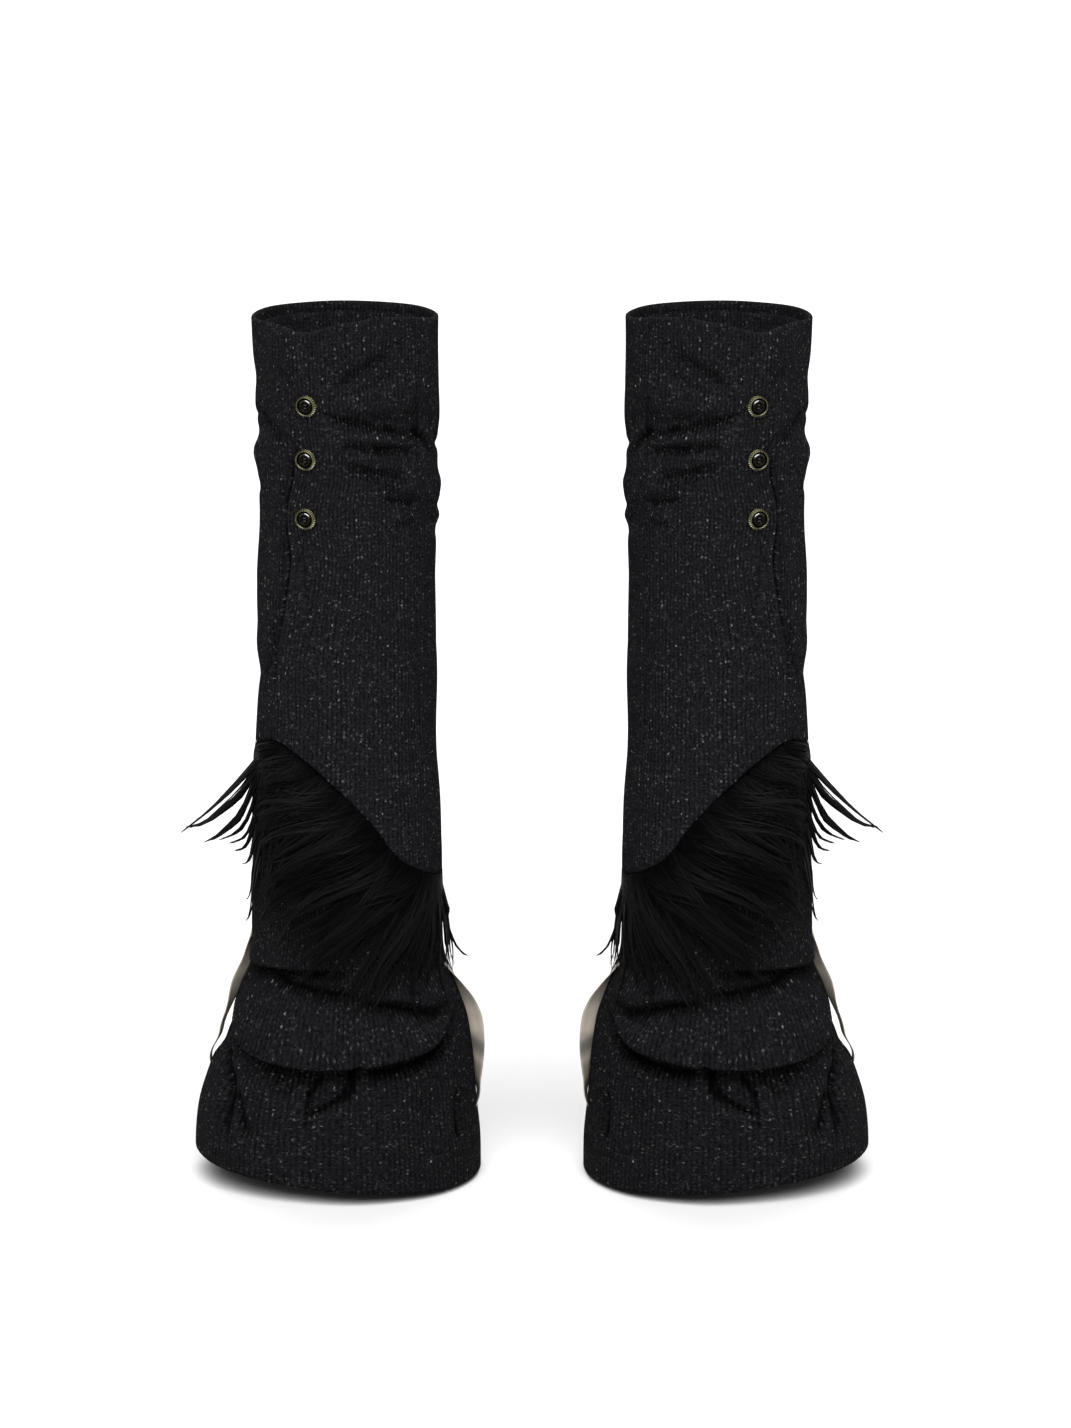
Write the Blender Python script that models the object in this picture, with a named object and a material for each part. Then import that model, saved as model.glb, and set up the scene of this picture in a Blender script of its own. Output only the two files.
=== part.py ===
"""Pair of rib-knit leg warmers, filled out as worn, with a buttoned wrap and a long hair trim.

Each leg warmer is an under tube from the rim to a flared, slouched hem, and over it a wrap whose
front panel crosses over its back panel and is held by three buttons. The wrap's lower edge is cut on
a slant, with hair locks rooted under it, and a satin tape runs down each side of the lower tier.
The second leg warmer is the mirror image of the first.

Frame: metres, X to the viewer's right, Y away from the viewer, Z up. The origin is midway between
the two legs, at the height of the calves that hold the cloth up. Angles run round a leg's own axis:
0 degrees faces the viewer, 90 degrees faces the viewer's right. Heights are above the hem's level.
All sizes in the tables are millimetres of the left leg warmer.
"""

import math
import random

import bmesh
import bpy
import numpy as np
from mathutils import Matrix, Vector

MM = 0.001

# Driving dimensions
AXIS_APART = 207.2        # from one leg's axis to the other's
CALF_HEIGHT = 430.0       # height of the origin above the hem's level
RIM_HEIGHT = 496.0        # height of the top edge at the back
WALL = 2.0                # thickness of the knit
LAYER_GAP = 0.5           # between the wrap's two panels where they overlap, and over the tube
SEAM_GAP_DEGREES = 0.3    # half of the gap where two panels meet at a side seam
TUBE_BELOW_RIM = 6.0      # the tube's top edge is turned in this far under the wrap's

# Columns of each panel
FRONT_COLUMNS = 16
BACK_COLUMNS = 12
UNDERLAP_END = -11.25     # angle where the wrap's back panel ends under its front panel
LIFT_FADE_END = 5.0       # angle where the front panel has come down to the level of a single layer
EDGE_COLUMNS = 3          # columns of the front panel that follow its free edge

# Rows of each panel, as heights
BAND_ROWS = (486.0, 365.0)            # first and last of the close rows of the buttoned band
BAND_STEP_FRONT = 7.5
BAND_STEP_BACK = 15.0
WRAP_LOWER_ROWS = (346.0, 318.0, 292.0, 273.0)
TUBE_HIDDEN_ROW = 400.0
TIER_ROWS = (140.0, 20.0)             # first and last of the close rows of the lower tier
TIER_STEP = 7.5
SHARP_DEGREES = 50.0                  # edges turned more than this stay sharp

# Smooth form without folds: height, reach to the left, reach to the right, depth over half width
SECTIONS = (
    (0.0, 87.5, 74.2, 0.81),
    (25.0, 88.0, 73.6, 0.81),
    (45.0, 85.5, 71.8, 0.81),
    (62.0, 80.4, 70.6, 0.82),
    (80.0, 73.8, 68.8, 0.82),
    (98.0, 67.6, 65.6, 0.83),
    (112.0, 62.0, 60.5, 0.83),
    (128.0, 55.2, 54.4, 0.84),
    (150.0, 53.9, 53.2, 0.85),
    (180.0, 53.6, 52.8, 0.85),
    (220.0, 52.2, 51.8, 0.86),
    (260.0, 50.3, 50.2, 0.86),
    (310.0, 49.0, 50.0, 0.86),
    (350.0, 49.2, 49.7, 0.86),
    (380.0, 47.4, 50.4, 0.86),
    (410.0, 47.8, 51.0, 0.86),
    (440.0, 49.4, 51.8, 0.86),
    (470.0, 49.4, 51.8, 0.86),
    (496.0, 50.5, 52.0, 0.86),
)

# Slanted lower edge of the wrap, the same on the back: sine of the angle, height
SLANT = (
    (-1.0, 256.0),
    (-0.77, 263.0),
    (-0.48, 256.0),
    (-0.21, 245.0),
    (0.05, 232.0),
    (0.31, 216.0),
    (0.56, 197.0),
    (0.77, 188.0),
    (1.0, 180.0),
)

# Free edge of the wrap's front panel: height, angle
PLACKET = (
    (250.0, -52.0),
    (273.0, -50.0),
    (312.0, -50.0),
    (337.0, -43.0),
    (366.0, -38.0),
    (392.0, -42.0),
    (417.0, -35.0),
    (453.0, -38.0),
    (500.0, -40.0),
)

# Waves of the rim: angle, spread in degrees, rise
RIM_WAVES = (
    (-24.0, 14.0, -3.5),
    (28.0, 32.0, 4.8),
)
HEM_MIDDLE = 8.0          # the hem's mean height
HEM_TILT = -5.5           # how much higher it is at the right side than at its middle

# Folds. A fold runs along a bowed line from one angle and height to another, and swells the cloth
# outward, or dents it where swell is below 0. Sag is how far the cloth there hangs down.
# Columns: angle and height of the start, angle and height of the end, bow, spread above the line,
# spread below it, swell, sag
WRAP_FOLDS = (
    (-4, 466, 30, 475, 2, 6, 6, -1.6, 0),
    (-5, 454, 64, 457, 2, 7, 7, 1.5, 1),
    (-5, 443, 70, 442, 2, 6, 6, -2.9, 0),
    (62, 441, 97, 424, 0, 6, 6, -2.4, 0),
    (-4, 435, 78, 434, 0, 5, 5, 1.2, 0),
    (0, 427, 60, 425, 1, 5, 5, -2.0, 0),
    (-2, 417, 46, 414, -1, 5, 5, -1.9, 0),
    (14, 408, 92, 396, 2, 8, 8, 1.8, 1),
    (24, 401, 94, 376, 4, 6, 6, -2.7, 0),
    (-104, 462, -62, 464, 0, 8, 8, -1.0, 0),
    (-106, 430, -60, 436, 0, 7, 7, -1.9, 0),
    (-106, 416, -60, 418, 0, 8, 7, 1.3, 0),
    (-62, 312, -94, 288, 0, 7, 7, -1.4, 0),
    (-66, 324, -102, 302, 0, 9, 9, 0.9, 0),
    (118, 446, 236, 439, 3, 9, 9, -2.6, 0),
    (128, 424, 214, 430, -2, 9, 9, -1.9, 0),
    (112, 410, 232, 405, 2, 9, 9, 1.5, 0),
    (106, 396, 206, 386, 3, 9, 9, -2.3, 0),
)
TIER_FOLDS = (
    (-84, 130, 4, 142, 1, 11, 6, 2.4, 2),
    (-84, 119, -4, 131, 3, 5, 5, -3.6, 0),
    (-36, 127, 10, 119, 0, 4, 5, -2.6, 0),
    (14, 124, 72, 117, 1, 10, 6, 2.6, 2),
    (18, 114, 66, 106, 1, 5, 5, -3.2, 0),
    (-80, 104, 66, 110, -12, 15, 9, 6.2, 6),
    (-62, 83, 68, 98, -8, 5, 8, -4.0, 0),
    (10, 84, -14, 48, 2, 7, 7, -3.0, 0),
    (-62, 72, -52, 42, 0, 7, 7, -2.6, 0),
    (-44, 60, -34, 36, 0, 6, 6, -1.6, 0),
    (62, 56, 60, 28, 0, 6, 6, -1.4, 0),
    (126, 140, 228, 136, 2, 10, 6, 2.4, 2),
    (132, 129, 214, 123, 2, 5, 5, -3.2, 0),
    (106, 110, 258, 106, -9, 14, 9, 5.4, 5),
    (112, 96, 252, 90, -8, 5, 8, -3.6, 0),
    (188, 84, 164, 52, 2, 8, 8, -2.8, 0),
    (216, 74, 224, 40, 0, 8, 8, -2.4, 0),
    (126, 66, 132, 34, 0, 8, 8, -1.8, 0),
)
FOLD_RADIUS = 58.0        # turns an angle into a length along the cloth
FOLD_END = 0.2            # part of a fold's length over which it fades at each end

# Hollow between the tube and the wrap, which hangs in deeper folds in the buttoned band
TUBE_INSET = WALL + LAYER_GAP
BAND_INSET = 3.0
BAND_TOP = (486.0, 476.0)
BAND_FOOT = (300.0, 275.0)

# Backing strip of the hair, under the slanted edge
STRIP_HEIGHT = 14.0
STRIP_TOP_GAP = 1.2
STRIP_OUTER_INSET = 0.3
STRIP_INNER_INSET = TUBE_INSET - 0.35
STRIP_COLUMNS_FRONT = 26
STRIP_COLUMNS_BACK = 20
TUBE_RISE = (15.0, 30.0)  # below the slanted edge, where the tube comes out to the full form

# Locks of hair by the sine of the root's angle: travel to the left along the cloth, lift of the tip
# off the cloth, drop of the tip below the slanted edge
LOCKS = (
    (-1.0, 0.0, 38.0, 54.0),
    (-0.955, 3.0, 36.0, 56.0),
    (-0.9, 5.0, 26.0, 60.0),
    (-0.79, 9.0, 12.0, 70.0),
    (-0.62, 16.0, 6.0, 82.0),
    (-0.4, 22.0, 5.0, 88.0),
    (-0.17, 25.0, 4.0, 91.0),
    (0.1, 25.0, 4.0, 93.0),
    (0.34, 22.0, 4.0, 94.0),
    (0.6, 18.0, 4.0, 90.0),
    (0.77, 12.0, 3.0, 82.0),
    (0.94, 4.0, 1.5, 70.0),
    (1.0, 0.0, 1.5, 62.0),
)
LOCK_STEPS = ((0.36, 0.7), (0.24, 0.64))  # where along a lock its sections lie, lower and upper
LOCK_RUN = 1.15                           # above 1, a lock drops more slowly near its root
LOCK_DRIFT = (1.4, 1.8)                   # how early a lower lock travels left, how late an upper one
LOCK_LENGTHS = (0.86, 1.08)               # range of the locks' lengths
LOCK_TRAVELS = (0.85, 1.15)               # range of their travel to the left
ROOT_DEPTH = 0.7 * STRIP_HEIGHT           # where on the strip a lock's middle line begins
LOCK_WIDTH = (9.0, 6.5)                   # their widths
LOCK_THICKNESS = (1.7, 1.5)
LOCK_CLEARANCE = (2.7, 6.2)               # least lift over the cloth, lower row and upper row
UPPER_ROW_SHORTER = 0.86
LIFT_FROM = 13.0                          # how far below the slanted edge the locks turn outward
LIFT_OVER = 42.0                          # and over what further drop they reach their lift
LIFT_MOST = 1.2                           # share of the lift at which they stop turning outward
HAIR_OVER_FOLDS = (5.0, 140.0, 165.0)     # how far the hair clears the tier's folds, and from where
HAIR_SEED = 17

# Buttons on the front panel
BUTTON_ANGLE = -24.5
BUTTON_HEIGHTS = (453.0, 422.0, 390.0)
BUTTON_SEAT_GAP = 0.45
BUTTON_SIDES = 12

# Profile of a button's metal ring: radius, height
RING_PROFILE = (
    (5.35, 0.0),
    (6.25, 1.0),
    (5.55, 2.6),
    (4.45, 2.1),
    (4.45, 0.0),
)

# Profile of its domed centre: radius, height
CENTRE_PROFILE = (
    (0.0, 0.0),
    (4.05, 0.0),
    (4.05, 1.5),
    (2.2, 2.1),
    (0.0, 2.3),
)

# Satin tapes: height, gap from the cloth to the tape's near edge, turn of its width away from the
# line of sight to the side, so that 90 degrees lies flat on the cloth
TAPE_WIDTH = 9.0
TAPE_THICKNESS = 1.0
OUTER_TAPE = (
    (150.0, 0.4, 90.0),
    (136.0, 0.5, 82.0),
    (121.0, 0.6, 55.0),
    (108.0, 0.6, 66.0),
    (96.0, 1.8, 64.0),
    (84.0, 2.4, 66.0),
    (74.0, 1.2, 80.0),
    (64.0, 0.4, 90.0),
)
INNER_TAPE = (
    (124.0, 0.4, 90.0),
    (113.0, 0.6, 62.0),
    (103.0, 0.4, 42.0),
    (92.0, 0.4, 28.0),
    (80.0, 0.4, 28.0),
    (68.0, 0.5, 46.0),
    (57.0, 1.3, 64.0),
    (48.0, 1.4, 80.0),
    (39.0, 0.4, 90.0),
)

# Colours in linear light, roughness, metallic
MATERIALS = {
    "knit": ((0.0116, 0.0116, 0.0137), 0.95, 0.0),
    "hair": ((0.0045, 0.0044, 0.0047), 0.55, 0.0),
    "brass": ((0.42, 0.33, 0.16), 0.35, 1.0),
    "black": ((0.012, 0.011, 0.010), 0.15, 0.0),
    "satin": ((0.235, 0.205, 0.175), 0.4, 0.0),
}


def read_curve(table, column, at):
    """Value of one column of a table on a smooth curve through its rows."""
    places = np.array([row[0] for row in table])
    values = np.array([row[column] for row in table])
    slopes = np.gradient(values, places)
    at = np.clip(at, places[0], places[-1])
    index = np.clip(np.searchsorted(places, at) - 1, 0, len(places) - 2)
    width = places[index + 1] - places[index]
    t = (at - places[index]) / width
    start = values[index] * (1 + 2 * t) * (1 - t) ** 2 + values[index + 1] * t * t * (3 - 2 * t)
    return start + width * t * (1 - t) * (slopes[index] * (1 - t) - slopes[index + 1] * t)


def ease(value, start, end):
    """0 before start, 1 after end, smooth between; end may be below start."""
    t = np.clip((value - start) / (end - start), 0.0, 1.0)
    return t * t * (3 - 2 * t)


def fold_field(folds, angle, height):
    """Outward swell and downward sag of a table of folds at each place."""
    swell = np.zeros_like(angle)
    sag = np.zeros_like(angle)
    for a0, z0, a1, z1, bow, above, below, rise, hang in folds:
        middle = (a0 + a1) / 2
        turned = (angle - middle + 180) % 360 - 180 + middle
        across = np.radians(turned - a0) * FOLD_RADIUS
        run = math.radians(a1 - a0) * FOLD_RADIUS
        length = math.hypot(run, z1 - z0)
        along = (across * run + (height - z0) * (z1 - z0)) / length ** 2
        side = 1.0 if run >= 0 else -1.0
        off = side * ((height - z0) * run - across * (z1 - z0)) / length
        inside = np.clip(along, 0, 1)
        off = off - bow * 4 * inside * (1 - inside)
        ends = ease(along, -FOLD_END / 2, FOLD_END) * ease(along, 1 + FOLD_END / 2, 1 - FOLD_END)
        shape = ends * np.exp(-(off / np.where(off > 0, above, below)) ** 2)
        swell += rise * shape
        sag += hang * shape
    return swell, sag


def surface(angle, height, folds):
    """Points of the outermost cloth."""
    left = read_curve(SECTIONS, 1, height)
    right = read_curve(SECTIONS, 2, height)
    depth = read_curve(SECTIONS, 3, height) * (left + right) / 2
    sine = np.sin(np.radians(angle))
    cosine = np.cos(np.radians(angle))
    reach = np.where(sine < 0, left, right)
    swell, sag = fold_field(folds, angle, height)
    outward = np.stack([sine / reach, -cosine / depth], axis=-1)
    outward /= np.linalg.norm(outward, axis=-1, keepdims=True)
    x = reach * sine + swell * outward[..., 0]
    y = -depth * cosine + swell * outward[..., 1]
    return np.stack([x, y, height - sag], axis=-1)


def layer(angle, height, folds, inset):
    """Points that lie inset millimetres in from the outermost cloth, along its own normal."""
    step = 0.5
    angle = np.asarray(angle, float)
    height = np.asarray(height, float)
    point = surface(angle, height, folds)
    along = surface(angle + step, height, folds) - surface(angle - step, height, folds)
    up = surface(angle, height + step, folds) - surface(angle, height - step, folds)
    normal = np.cross(along, up)
    normal /= np.linalg.norm(normal, axis=-1, keepdims=True)
    return point - np.asarray(inset)[..., None] * normal


def slant_height(angle):
    return read_curve(SLANT, 1, np.sin(np.radians(angle)))


def rim_height(angle):
    rise = np.zeros_like(angle)
    for middle, spread, height in RIM_WAVES:
        turned = (angle - middle + 180) % 360 - 180
        rise += height * np.exp(-(turned / spread) ** 2)
    return RIM_HEIGHT + rise


def hem_height(angle):
    return HEM_MIDDLE + HEM_TILT * np.sin(np.radians(angle))


def wrap_rows(angle, band_step):
    """Heights of the wrap's rows at each column, from the rim to the slanted edge."""
    foot = slant_height(angle)
    first, last = BAND_ROWS
    fixed = [*np.arange(first, last, -band_step), *WRAP_LOWER_ROWS]
    rows = [rim_height(angle)] + [np.full_like(angle, height) for height in fixed]
    rows += [(rows[-1] + foot) / 2, foot]
    return np.stack(rows)


def tube_rows(angle):
    """Heights of the tube's rows at each column, from its turned-in top to the hem."""
    foot = slant_height(angle)
    top = [rim_height(angle) - TUBE_BELOW_RIM]
    hidden = [BAND_TOP[1], TUBE_HIDDEN_ROW, BAND_FOOT[0], BAND_FOOT[1]]
    top += [np.full_like(angle, height) for height in hidden]
    rise = foot - TUBE_RISE[1]
    first, last = TIER_ROWS
    slanted = [foot, foot - TUBE_RISE[0], rise, (rise + first) / 2]
    tier = [np.full_like(angle, height) for height in np.arange(first, last - 1, -TIER_STEP)]
    return np.stack(top + slanted + tier + [hem_height(angle)])


def tube_inset(angle, height):
    """How far the tube lies under the outermost cloth: under the wrap, and level with it below."""
    band = ease(height, BAND_TOP[0], BAND_TOP[1]) * ease(height, BAND_FOOT[1], BAND_FOOT[0])
    covered = TUBE_INSET + BAND_INSET * band
    below = slant_height(angle) - height
    return covered * ease(below, TUBE_RISE[1], TUBE_RISE[0])


def wall_mesh(outer, inner):
    """Vertices and faces of a closed wall between two grids of points, rows from the top down."""
    rows, columns = outer.shape[:2]
    count = rows * columns
    vertices = np.concatenate([outer.reshape(-1, 3), inner.reshape(-1, 3)])

    def at(row, column, side):
        return side * count + row * columns + column

    faces = []
    for r in range(rows - 1):
        for c in range(columns - 1):
            faces.append((at(r, c, 0), at(r + 1, c, 0), at(r + 1, c + 1, 0), at(r, c + 1, 0)))
            faces.append((at(r, c, 1), at(r, c + 1, 1), at(r + 1, c + 1, 1), at(r + 1, c, 1)))
    for c in range(columns - 1):
        last = rows - 1
        faces.append((at(0, c, 0), at(0, c + 1, 0), at(0, c + 1, 1), at(0, c, 1)))
        faces.append((at(last, c, 0), at(last, c, 1), at(last, c + 1, 1), at(last, c + 1, 0)))
    for r in range(rows - 1):
        last = columns - 1
        faces.append((at(r, 0, 0), at(r, 0, 1), at(r + 1, 0, 1), at(r + 1, 0, 0)))
        faces.append((at(r, last, 0), at(r + 1, last, 0), at(r + 1, last, 1), at(r, last, 1)))
    return vertices, faces


def make_material(name, kind):
    colour, roughness, metallic = MATERIALS[kind]
    material = bpy.data.materials.new(name)
    material.use_nodes = True
    shader = material.node_tree.nodes["Principled BSDF"]
    shader.inputs["Base Color"].default_value = (*colour, 1.0)
    shader.inputs["Roughness"].default_value = roughness
    shader.inputs["Metallic"].default_value = metallic
    material.diffuse_color = (*colour, 1.0)
    return material


def make_object(leg, name, vertices, faces, kind, place=None):
    """One named solid of a leg warmer, from points in millimetres about the leg's own axis."""
    points = np.array(vertices, float)
    if place is None:
        points[:, 2] -= CALF_HEIGHT
    if leg["mirror"]:
        points[:, 0] *= -1
    mesh = bpy.data.meshes.new(leg["name"] + "_" + name)
    mesh.from_pydata([tuple(point * MM) for point in points], [], faces)
    shape = bmesh.new()
    shape.from_mesh(mesh)
    bmesh.ops.recalc_face_normals(shape, faces=shape.faces)
    bmesh.ops.triangulate(shape, faces=shape.faces, quad_method="FIXED")
    shape.to_mesh(mesh)
    shape.free()
    mesh.shade_smooth()
    mesh.set_sharp_from_angle(angle=math.radians(SHARP_DEGREES))
    mesh.materials.append(make_material(mesh.name, kind))
    part = bpy.data.objects.new(mesh.name, mesh)
    bpy.context.collection.objects.link(part)
    part.parent = leg["empty"]
    if place is not None:
        part.matrix_local = place
    return part


def make_panel(leg, name, angle, height, folds, outer_inset):
    """A knit panel as a wall, its outer side outer_inset in from the outermost cloth."""
    outer = layer(angle, height, folds, outer_inset)
    inner = layer(angle, height, folds, outer_inset + WALL)
    make_object(leg, name, *wall_mesh(outer, inner), "knit")


def make_tube(leg):
    spans = {"tube_front": (-90.0, 90.0, FRONT_COLUMNS), "tube_back": (90.0, 270.0, BACK_COLUMNS)}
    for name, (start, end, columns) in spans.items():
        line = np.linspace(start, end, columns + 1)
        line[0] += SEAM_GAP_DEGREES
        line[-1] -= SEAM_GAP_DEGREES
        height = tube_rows(line)
        angle = np.broadcast_to(line, height.shape)
        make_panel(leg, name, angle, height, TIER_FOLDS, tube_inset(angle, height))


def front_lift(angle):
    """How far the front panel stands out, to pass over the back panel's end."""
    return (WALL + LAYER_GAP) * ease(angle, LIFT_FADE_END, UNDERLAP_END)


def make_wrap(leg):
    step = 180.0 / FRONT_COLUMNS
    fixed = np.arange(UNDERLAP_END - step, 90.0 + step / 2, step)
    fixed[-1] -= SEAM_GAP_DEGREES
    edge_middle = float(read_curve(PLACKET, 1, CALF_HEIGHT))
    line = np.concatenate([np.linspace(edge_middle, fixed[0], EDGE_COLUMNS + 1)[:-1], fixed])
    height = wrap_rows(line, BAND_STEP_FRONT)
    angle = np.array(np.broadcast_to(line, height.shape))
    for column in range(EDGE_COLUMNS):
        part = column / EDGE_COLUMNS
        edge = read_curve(PLACKET, 1, height[:, column])
        angle[:, column] = edge + (fixed[0] - edge) * part
        height[-1, column] = slant_height(angle[-1, column])
    make_panel(leg, "wrap_front", angle, height, WRAP_FOLDS, -front_lift(angle))

    back = np.linspace(90.0, 270.0, BACK_COLUMNS + 1)
    back[0] += SEAM_GAP_DEGREES
    under = np.arange(270.0 + step, 360.0 + UNDERLAP_END + step / 2, step)
    line = np.concatenate([back, under])
    height = wrap_rows(line, BAND_STEP_BACK)
    angle = np.broadcast_to(line, height.shape)
    make_panel(leg, "wrap_back", angle, height, WRAP_FOLDS, np.zeros_like(angle))


def side_faces(ring, following):
    """Faces between two rings of four corners, whose broad sides are split along like diagonals."""
    sides = ((0, 1), (1, 2), (3, 2), (0, 3))
    return [(ring[a], ring[b], following[b], following[a]) for a, b in sides]


def lock_sections(root, row, chance):
    """Sections of a lock, each as four corners: outer left, outer right, inner right, inner left."""
    sine = math.sin(math.radians(root))
    leftward = -1.0 if math.cos(math.radians(root)) > 0 else 1.0
    longer = chance.uniform(*LOCK_LENGTHS) * (UPPER_ROW_SHORTER if row else 1.0)
    travel = float(read_curve(LOCKS, 1, sine)) * chance.uniform(*LOCK_TRAVELS)
    drop = float(read_curve(LOCKS, 3, sine)) * longer
    top = float(slant_height(root))
    over, low, high = HAIR_OVER_FOLDS

    def centre(t):
        radius = float(read_curve(SECTIONS, 1, top - drop * t))
        gone = t ** LOCK_DRIFT[1] if row else 1 - (1 - t) ** LOCK_DRIFT[0]
        angle = root + leftward * math.degrees(travel * gone / radius)
        height = top - ROOT_DEPTH - (drop - ROOT_DEPTH) * t ** LOCK_RUN
        sine_here = math.sin(math.radians(angle))
        below = (float(slant_height(angle)) - height - LIFT_FROM) / LIFT_OVER
        lift = float(read_curve(LOCKS, 2, sine_here)) * min(LIFT_MOST, max(0.0, below))
        clear = LOCK_CLEARANCE[row] + over * float(ease(height, high, low))
        point = layer(angle, height, (), -(clear + lift))
        outward = point - layer(angle, height, (), 0.0)
        return point, outward / np.linalg.norm(outward)

    corners = []
    step = 0.05
    for t, width, thick in zip(LOCK_STEPS[row], LOCK_WIDTH, LOCK_THICKNESS):
        point, outward = centre(t)
        ahead = centre(t + step)[0] - point
        across = np.cross(outward, ahead)
        across /= np.linalg.norm(across)
        outward = np.cross(ahead, across)
        outward /= np.linalg.norm(outward)
        right = across * width / 2
        out = outward * thick / 2
        corners.append([point + out - right, point + out + right,
                        point - out + right, point - out - right])
    return corners, centre(1.0)[0]


def make_fur(leg, name, start, end, columns, chance):
    """Backing strip with a lock grown from each cell: from its foot and from its face in turn."""
    line = np.linspace(start, end, columns + 1)
    line[0] += SEAM_GAP_DEGREES
    line[-1] -= SEAM_GAP_DEGREES
    top = slant_height(line) - STRIP_TOP_GAP
    height = np.stack([top, top - STRIP_HEIGHT])
    angle = np.broadcast_to(line, height.shape)
    outer = layer(angle, height, (), STRIP_OUTER_INSET)
    inner = layer(angle, height, (), STRIP_INNER_INSET)
    vertices, faces = wall_mesh(outer, inner)
    vertices = [np.array(vertex) for vertex in vertices]
    row_length = columns + 1
    side = 2 * row_length
    for cell in range(columns):
        upper = cell % 2
        left, right = cell, cell + 1
        if upper:
            base = (left, right, row_length + right, row_length + left)
        else:
            base = (row_length + left, row_length + right,
                    side + row_length + right, side + row_length + left)
        faces = [face for face in faces if set(face) != set(base)]
        sections, tip = lock_sections((line[cell] + line[cell + 1]) / 2, upper, chance)
        ring = base
        for corners in sections:
            first = len(vertices)
            vertices += corners
            following = tuple(range(first, first + 4))
            faces += side_faces(ring, following)
            ring = following
        vertices.append(tip)
        faces += [(ring[k], ring[(k + 1) % 4], len(vertices) - 1) for k in range(4)]
    make_object(leg, name, np.array(vertices), faces, "hair")


def turned_mesh(profile, sides):
    """Solid turned about Z from a closed profile of (radius, height) points; radius 0 is a pole."""
    vertices = []
    rings = []
    for radius, height in profile:
        count = 1 if radius == 0 else sides
        rings.append(range(len(vertices), len(vertices) + count))
        for k in range(count):
            turn = 2 * math.pi * k / sides
            vertices.append((radius * math.cos(turn), radius * math.sin(turn), height))
    faces = []
    for ring, following in zip(rings, rings[1:] + rings[:1]):
        if len(ring) == 1 and len(following) == 1:
            continue
        for k in range(sides):
            after = (k + 1) % sides
            loop = [ring[k % len(ring)], ring[after % len(ring)],
                    following[after % len(following)], following[k % len(following)]]
            faces.append(tuple(dict.fromkeys(loop)))
    return vertices, faces


def make_buttons(leg):
    for number, height in enumerate(BUTTON_HEIGHTS, start=1):
        lift = float(front_lift(BUTTON_ANGLE))
        seat = layer(BUTTON_ANGLE, height, WRAP_FOLDS, -lift - BUTTON_SEAT_GAP)
        outward = seat - layer(BUTTON_ANGLE, height, WRAP_FOLDS, -lift)
        outward[2] = 0.0
        seat[2] -= CALF_HEIGHT
        if leg["mirror"]:
            seat[0] *= -1
            outward[0] *= -1
        turn = Vector(outward).to_track_quat("Z", "Y").to_matrix().to_4x4()
        place = Matrix.Translation(Vector(seat * MM)) @ turn
        ring = turned_mesh(RING_PROFILE, BUTTON_SIDES)
        centre = turned_mesh(CENTRE_PROFILE, BUTTON_SIDES)
        make_object(leg, f"button_{number}_rim", *ring, "brass", place)
        make_object(leg, f"button_{number}_centre", *centre, "black", place)


def make_tape(leg, name, table, angle):
    """A tape down one side, sewn flat at both ends and turned to the front between them."""
    side = math.copysign(1.0, math.sin(math.radians(angle)))
    rows = []
    for height, gap, turn in table:
        cloth = abs(float(layer(angle, height, TIER_FOLDS, 0.0)[0]))
        width = np.array([side * math.cos(math.radians(turn)), -math.sin(math.radians(turn))])
        face = np.array([side * math.sin(math.radians(turn)), math.cos(math.radians(turn))])
        near = cloth + gap + TAPE_THICKNESS / 2 * math.sin(math.radians(turn))
        flat = math.sin(math.radians(turn)) ** 2
        start = np.array([side * near, TAPE_WIDTH / 2 * flat])
        far = start + width * TAPE_WIDTH
        half = face * TAPE_THICKNESS / 2
        corners = [start - half, far - half, far + half, start + half]
        rows.append([(x, y, height) for x, y in corners])
    vertices = np.array(rows).reshape(-1, 3)
    faces = []
    for r in range(len(rows) - 1):
        faces += side_faces(range(4 * r, 4 * r + 4), range(4 * r + 4, 4 * r + 8))
    faces += [(0, 1, 2, 3), tuple(range(4 * len(rows) - 4, 4 * len(rows)))]
    make_object(leg, name, vertices, faces, "satin")


def make_leg_warmer(name, mirror):
    empty = bpy.data.objects.new(name, None)
    empty.location = ((0.5 if mirror else -0.5) * AXIS_APART * MM, 0.0, 0.0)
    bpy.context.collection.objects.link(empty)
    leg = {"name": name, "mirror": mirror, "empty": empty}
    chance = random.Random(HAIR_SEED)
    make_tube(leg)
    make_wrap(leg)
    make_fur(leg, "fur_front", -90.0, 90.0, STRIP_COLUMNS_FRONT, chance)
    make_fur(leg, "fur_back", 90.0, 270.0, STRIP_COLUMNS_BACK, chance)
    make_buttons(leg)
    make_tape(leg, "tape_outer", OUTER_TAPE, -90.0)
    make_tape(leg, "tape_inner", INNER_TAPE, 90.0)


def main():
    for old in list(bpy.data.objects):
        bpy.data.objects.remove(old, do_unlink=True)
    make_leg_warmer("left", mirror=False)
    make_leg_warmer("right", mirror=True)
    bpy.context.view_layer.update()


main()
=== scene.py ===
import math
from functools import partialmethod

import bmesh
import bpy
import numpy as np
from mathutils import Matrix, Vector


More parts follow.
